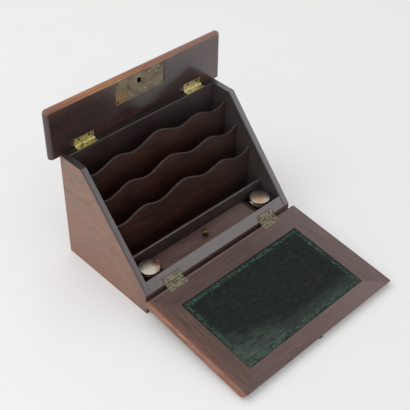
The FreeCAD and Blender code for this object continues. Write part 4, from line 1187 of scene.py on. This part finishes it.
bands = {
    "banding_hinge_side": ("hingeSideBand", "hingeBand"),
    "banding_free_side": ("freeSideBand", "freeBand"),
    "banding_left": ("leftBand", "leftBandWood"),
    "banding_right": ("rightBand", "rightBandWood"),
}
bandShape = {"edge": 1.3 * mm, "rubbedAndLit": 4.2 * mm}
for node, (name, finish) in bands.items():
    band = fromNode(node, name)
    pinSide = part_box(node)[1].y
    if node == "banding_hinge_side":
        for inset in bandShape.values():
            startEdit(band, "SELECT")
            bpy.ops.mesh.bisect(plane_co=(0, pinSide - inset, 0), plane_no=(0, 1, 0))
            stopEdit()
    softenEdges(band, 0.15 * mm, 1, -1, 50)
    dress(band, woods[finish], woods["highlightBand"], woods["edgeShade"])
    # Along the hinge side, the outer strip takes painted shade where the rounded edge turns from the light, and
    # the strip inside it a painted highlight.
    if node == "banding_hinge_side":
        paintFaces(band, 1, lambda normal, middle: middle.y > pinSide - bandShape["rubbedAndLit"])
        paintFaces(band, 2, lambda normal, middle: middle.y > pinSide - bandShape["edge"])
    settle(band, "fall", [node], 40)

stud = fromNode("lock_stud", "lockStud")
softenEdges(stud, 0.25 * mm, 2, -1, 50)
dress(stud, metals["darkStud"])
settle(stud, "fall", ["lock_stud"], 50)

leatherShape = {"width": 254.2 * mm, "length": 144.4 * mm, "dip": 6.43}


def makeLeather():
    material, tree, shader = startMaterial("greenLeather", Specular_IOR_Level=0.12)
    low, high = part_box("writing_leather")
    middle = (low + high) / 2
    turn = (leatherShape["dip"], 0, 0)
    place = spaced(tree, turn, (1, 1, 1), middle)
    axes = addNode(tree, "SeparateXYZ")
    wire(tree, place, axes, 0)
    inward = []
    for axis, half in (("X", leatherShape["width"] / 2), ("Y", leatherShape["length"] / 2)):
        size = addNode(tree, "Math", operation="ABSOLUTE")
        wire(tree, axes, size, 0, axis)
        left = addNode(tree, "Math", {0: half}, operation="SUBTRACT")
        wire(tree, size, left, 1)
        inward.append(left)
    edge = addNode(tree, "Math", operation="MINIMUM")
    wire(tree, inward[0], edge, 0)
    wire(tree, inward[1], edge, 1)
    ragged = noise(tree, spaced(tree, turn, (0.006, 0.006, 0.006), middle), 4, 0.65)
    shifted = addNode(tree, "Math", {1: 0.006}, operation="MULTIPLY_ADD")
    wire(tree, ragged, shifted, 0)
    wire(tree, edge, shifted, 2)
    inBorder = span(tree, shifted, 0.0105, 0.0125, 1, 0)
    pastRim = span(tree, edge, 0.0012, 0.0028, 0, 1)
    leaves = addNode(tree, "TexVoronoi", {"Scale": 1.0, "Randomness": 0.85}, feature="SMOOTH_F1")
    wire(tree, spaced(tree, turn, (0.0031, 0.0031, 0.0031), middle), leaves, "Vector")
    leafTone = span(tree, leaves, 0.25, 0.6, 1, 0)
    kept = noise(tree, spaced(tree, turn, (0.02, 0.012, 0.012), (0.1, 0.3, 0.2)), 4, 0.6)
    marks = leafTone
    for factor in (inBorder, span(tree, kept, 0.35, 0.6, 0.2, 1), pastRim):
        product = addNode(tree, "Math", operation="MULTIPLY")
        wire(tree, marks, product, 0)
        wire(tree, factor, product, 1)
        marks = product
    # Rubbed where a writing arm rests: along the free side, and most at its left end.
    acrossCorner = addNode(tree, "Math", {1: -0.36}, operation="MULTIPLY")
    wire(tree, axes, acrossCorner, 0, "X")
    towardsCorner = addNode(tree, "Math", operation="SUBTRACT")
    wire(tree, acrossCorner, towardsCorner, 0)
    wire(tree, axes, towardsCorner, 1, "Y")
    drifted = noise(tree, spaced(tree, turn, (0.05, 0.022, 0.03), middle), 4, 0.6, 0.8)
    shiftedCorner = addNode(tree, "Math", {1: 0.06}, operation="MULTIPLY_ADD")
    wire(tree, drifted, shiftedCorner, 0)
    wire(tree, towardsCorner, shiftedCorner, 2)
    cornerWear = span(tree, shiftedCorner, 0.068, 0.138, 0, 1)
    sideWear = span(tree, axes, -0.04, -0.062, 0, 0.42, "Y")
    mostWear = addNode(tree, "Math", operation="MAXIMUM")
    wire(tree, cornerWear, mostWear, 0)
    wire(tree, sideWear, mostWear, 1)
    rubs = noise(tree, spaced(tree, turn, (0.03, 0.0018, 0.03), middle), 6, 0.75, 0.8)
    worn = addNode(tree, "Math", operation="MULTIPLY")
    wire(tree, mostWear, worn, 0)
    wire(tree, span(tree, rubs, 0.4, 0.62, 0.1, 1), worn, 1)
    mottle = noise(tree, spaced(tree, turn, (0.014, 0.006, 0.006), middle), 4, 0.6)
    ground = ramp(tree, mottle, [(0.35, paint(25, 29, 28)), (0.55, paint(31, 37, 35)), (0.75, paint(40, 50, 46))])
    rubbedAndLit = blend(tree, worn, ground, paint(92, 105, 96))
    gaps = addNode(tree, "Math", {0: 1.0}, operation="SUBTRACT")
    wire(tree, leafTone, gaps, 1)
    sunk = addNode(tree, "Math", operation="MULTIPLY")
    wire(tree, gaps, sunk, 0)
    wire(tree, span(tree, shifted, 0.0105, 0.0125, 0.6, 0), sunk, 1)
    colour = blend(tree, sunk, rubbedAndLit, paint(28, 36, 34))
    colour = blend(tree, marks, colour, paint(66, 92, 80))
    wire(tree, colour, shader, "Base Color", colourOut(colour))
    wire(tree, span(tree, rubs, 0.3, 0.7, 0.7, 0.82), shader, "Roughness")
    pebbles = addNode(tree, "TexVoronoi", {"Scale": 1.0}, feature="F1")
    wire(tree, spaced(tree, turn, (0.0009, 0.0009, 0.0009), middle), pebbles, "Vector")
    relief = dent(tree, shader, pebbles, 0.08 * mm, 0.35)
    dent(tree, shader, marks, 0.2 * mm, -0.6, relief)
    leather = fromNode("writing_leather", "writingLeather")
    softenEdges(leather, 0.3 * mm, 2, -1, 50)
    dress(leather, material)
    settle(leather, "fall", ["writing_leather"], 50)
    size = (leatherShape["width"], leatherShape["length"])


makeLeather()
print("stage: fall made")


# Nodes that stay as they are take a finish of their own

plainNodes = {
    "lock_case": metals["lockBrass"],
    "lock_spring": metals["dullSteel"],
    "lock_bolt": metals["dullSteel"],
    "key_pin": metals["dullSteel"],
    "ink_cap_seal_left": capSeal,
    "ink_cap_seal_right": capSeal,
    "ink_cap_pin_left": metals["dullSteel"],
    "ink_cap_pin_right": metals["dullSteel"],
}
for which in ("lid", "fall"):
    for side in ("left", "right"):
        plainNodes["%s_hinge_%s_pin" % (which, side)] = metals["agedBrass"]
for node, material in plainNodes.items():
    dress(nodes[node], material)


# The table, the light and the camera

studio = {
    "tableColour": paint(240, 240, 240),
    "tableGlow": 0.12,
    "tableHalf": 4.0,
    "worldLight": 0.86,
    "seenWhite": 0.84,
    "keyPower": 9.0,
    "keySize": 1.6,
    "keyPlace": (-1.1, 0.5, 1.5),
    "target": (0, -0.09, 0.08),
}


def makeTable():
    deselectAll()
    bpy.ops.mesh.primitive_plane_add(size=2 * studio["tableHalf"], location=(0, 0, 0))
    table = nameIt("paleTable")
    material, tree, shader = startMaterial("paleTable", Roughness=0.7)
    mottle = noise(tree, spaced(tree, (0, 0, 0), (0.25, 0.25, 0.25)), 3)
    pale = studio["tableColour"]
    dimmer = tuple(channel * 0.985 for channel in pale[:3]) + (1,)
    tone = ramp(tree, mottle, [(0.35, dimmer), (0.65, pale)])
    wire(tree, tone, shader, "Base Color")
    # Seen straight on, the table is partly its own plain colour, so its shadows stay faint.
    glow = addNode(tree, "Emission", {"Strength": 1.0})
    wire(tree, tone, glow, "Color")
    rays = addNode(tree, "LightPath")
    share = addNode(tree, "Math", {1: studio["tableGlow"]}, operation="MULTIPLY")
    wire(tree, rays, share, 0, "Is Camera Ray")
    mixed = addNode(tree, "MixShader")
    wire(tree, share, mixed, "Fac")
    wire(tree, shader, mixed, 1)
    wire(tree, glow, mixed, 2)
    wire(tree, mixed, tree.nodes["Material Output"], "Surface")
    dress(table, material)


def makeLight():
    world = bpy.data.worlds.new("studioLight")
    bpy.context.scene.world = world
    world.use_nodes = True
    tree = world.node_tree
    background = tree.nodes["Background"]
    background.inputs["Color"].default_value = white
    rays = addNode(tree, "LightPath")
    seen = addNode(tree, "Math", operation="MAXIMUM")
    wire(tree, rays, seen, 0, "Is Camera Ray")
    wire(tree, rays, seen, 1, "Is Glossy Ray")
    through = addNode(tree, "Math", operation="MAXIMUM")
    wire(tree, seen, through, 0)
    wire(tree, rays, through, 1, "Is Transmission Ray")
    wire(tree, span(tree, through, 0, 1, studio["worldLight"], studio["seenWhite"]), background, "Strength")
    lamp = bpy.data.lights.new("skylight", "AREA")
    lamp.energy = studio["keyPower"]
    lamp.size = studio["keySize"]
    holder = bpy.data.objects.new("skylight", lamp)
    bpy.context.scene.collection.objects.link(holder)
    holder.location = studio["keyPlace"]
    aim = Vector(studio["target"]) - holder.location
    holder.rotation_euler = aim.to_track_quat("-Z", "Y").to_euler()


viewpoint = {
    "azimuth": -44.393,
    "elevation": 40.889,
    "roll": 1.197,
    "target": (0, 0.014, 0.1),
    "targetPixel": (175.451, 184.931),
    "distance": 1.388108,
    "focalPixels": 853.995,
    "framePixels": 410,
}


def makeCamera():
    # The target is seen at its pixel, at its distance, from the given direction.
    turn = math.radians(viewpoint["azimuth"])
    rise = math.radians(viewpoint["elevation"])
    roll = math.radians(viewpoint["roll"])
    ahead = Vector((-math.sin(turn) * math.cos(rise), math.cos(turn) * math.cos(rise), -math.sin(rise)))
    right = Vector((math.cos(turn), math.sin(turn), 0))
    up = right.cross(ahead)
    right, up = (
        right * math.cos(roll) + up * math.sin(roll),
        up * math.cos(roll) - right * math.sin(roll),
    )
    half = viewpoint["framePixels"] / 2
    perPixel = viewpoint["distance"] / viewpoint["focalPixels"]
    aside = (viewpoint["targetPixel"][0] - half) * perPixel
    below = (viewpoint["targetPixel"][1] - half) * perPixel
    place = Vector(viewpoint["target"]) - ahead * viewpoint["distance"] - right * aside + up * below
    data = bpy.data.cameras.new("photoView")
    data.sensor_width = 36
    data.lens = viewpoint["focalPixels"] / viewpoint["framePixels"] * data.sensor_width
    data.clip_start, data.clip_end = 0.05, 50
    camera = bpy.data.objects.new("photoView", data)
    bpy.context.scene.collection.objects.link(camera)
    axes = Matrix((right, up, -ahead)).transposed().to_4x4()
    camera.matrix_world = Matrix.Translation(place) @ axes
    bpy.context.scene.camera = camera


makeTable()
makeLight()
makeCamera()
bpy.context.scene.view_settings.view_transform = "Standard"
print("stage: table, light and camera made")
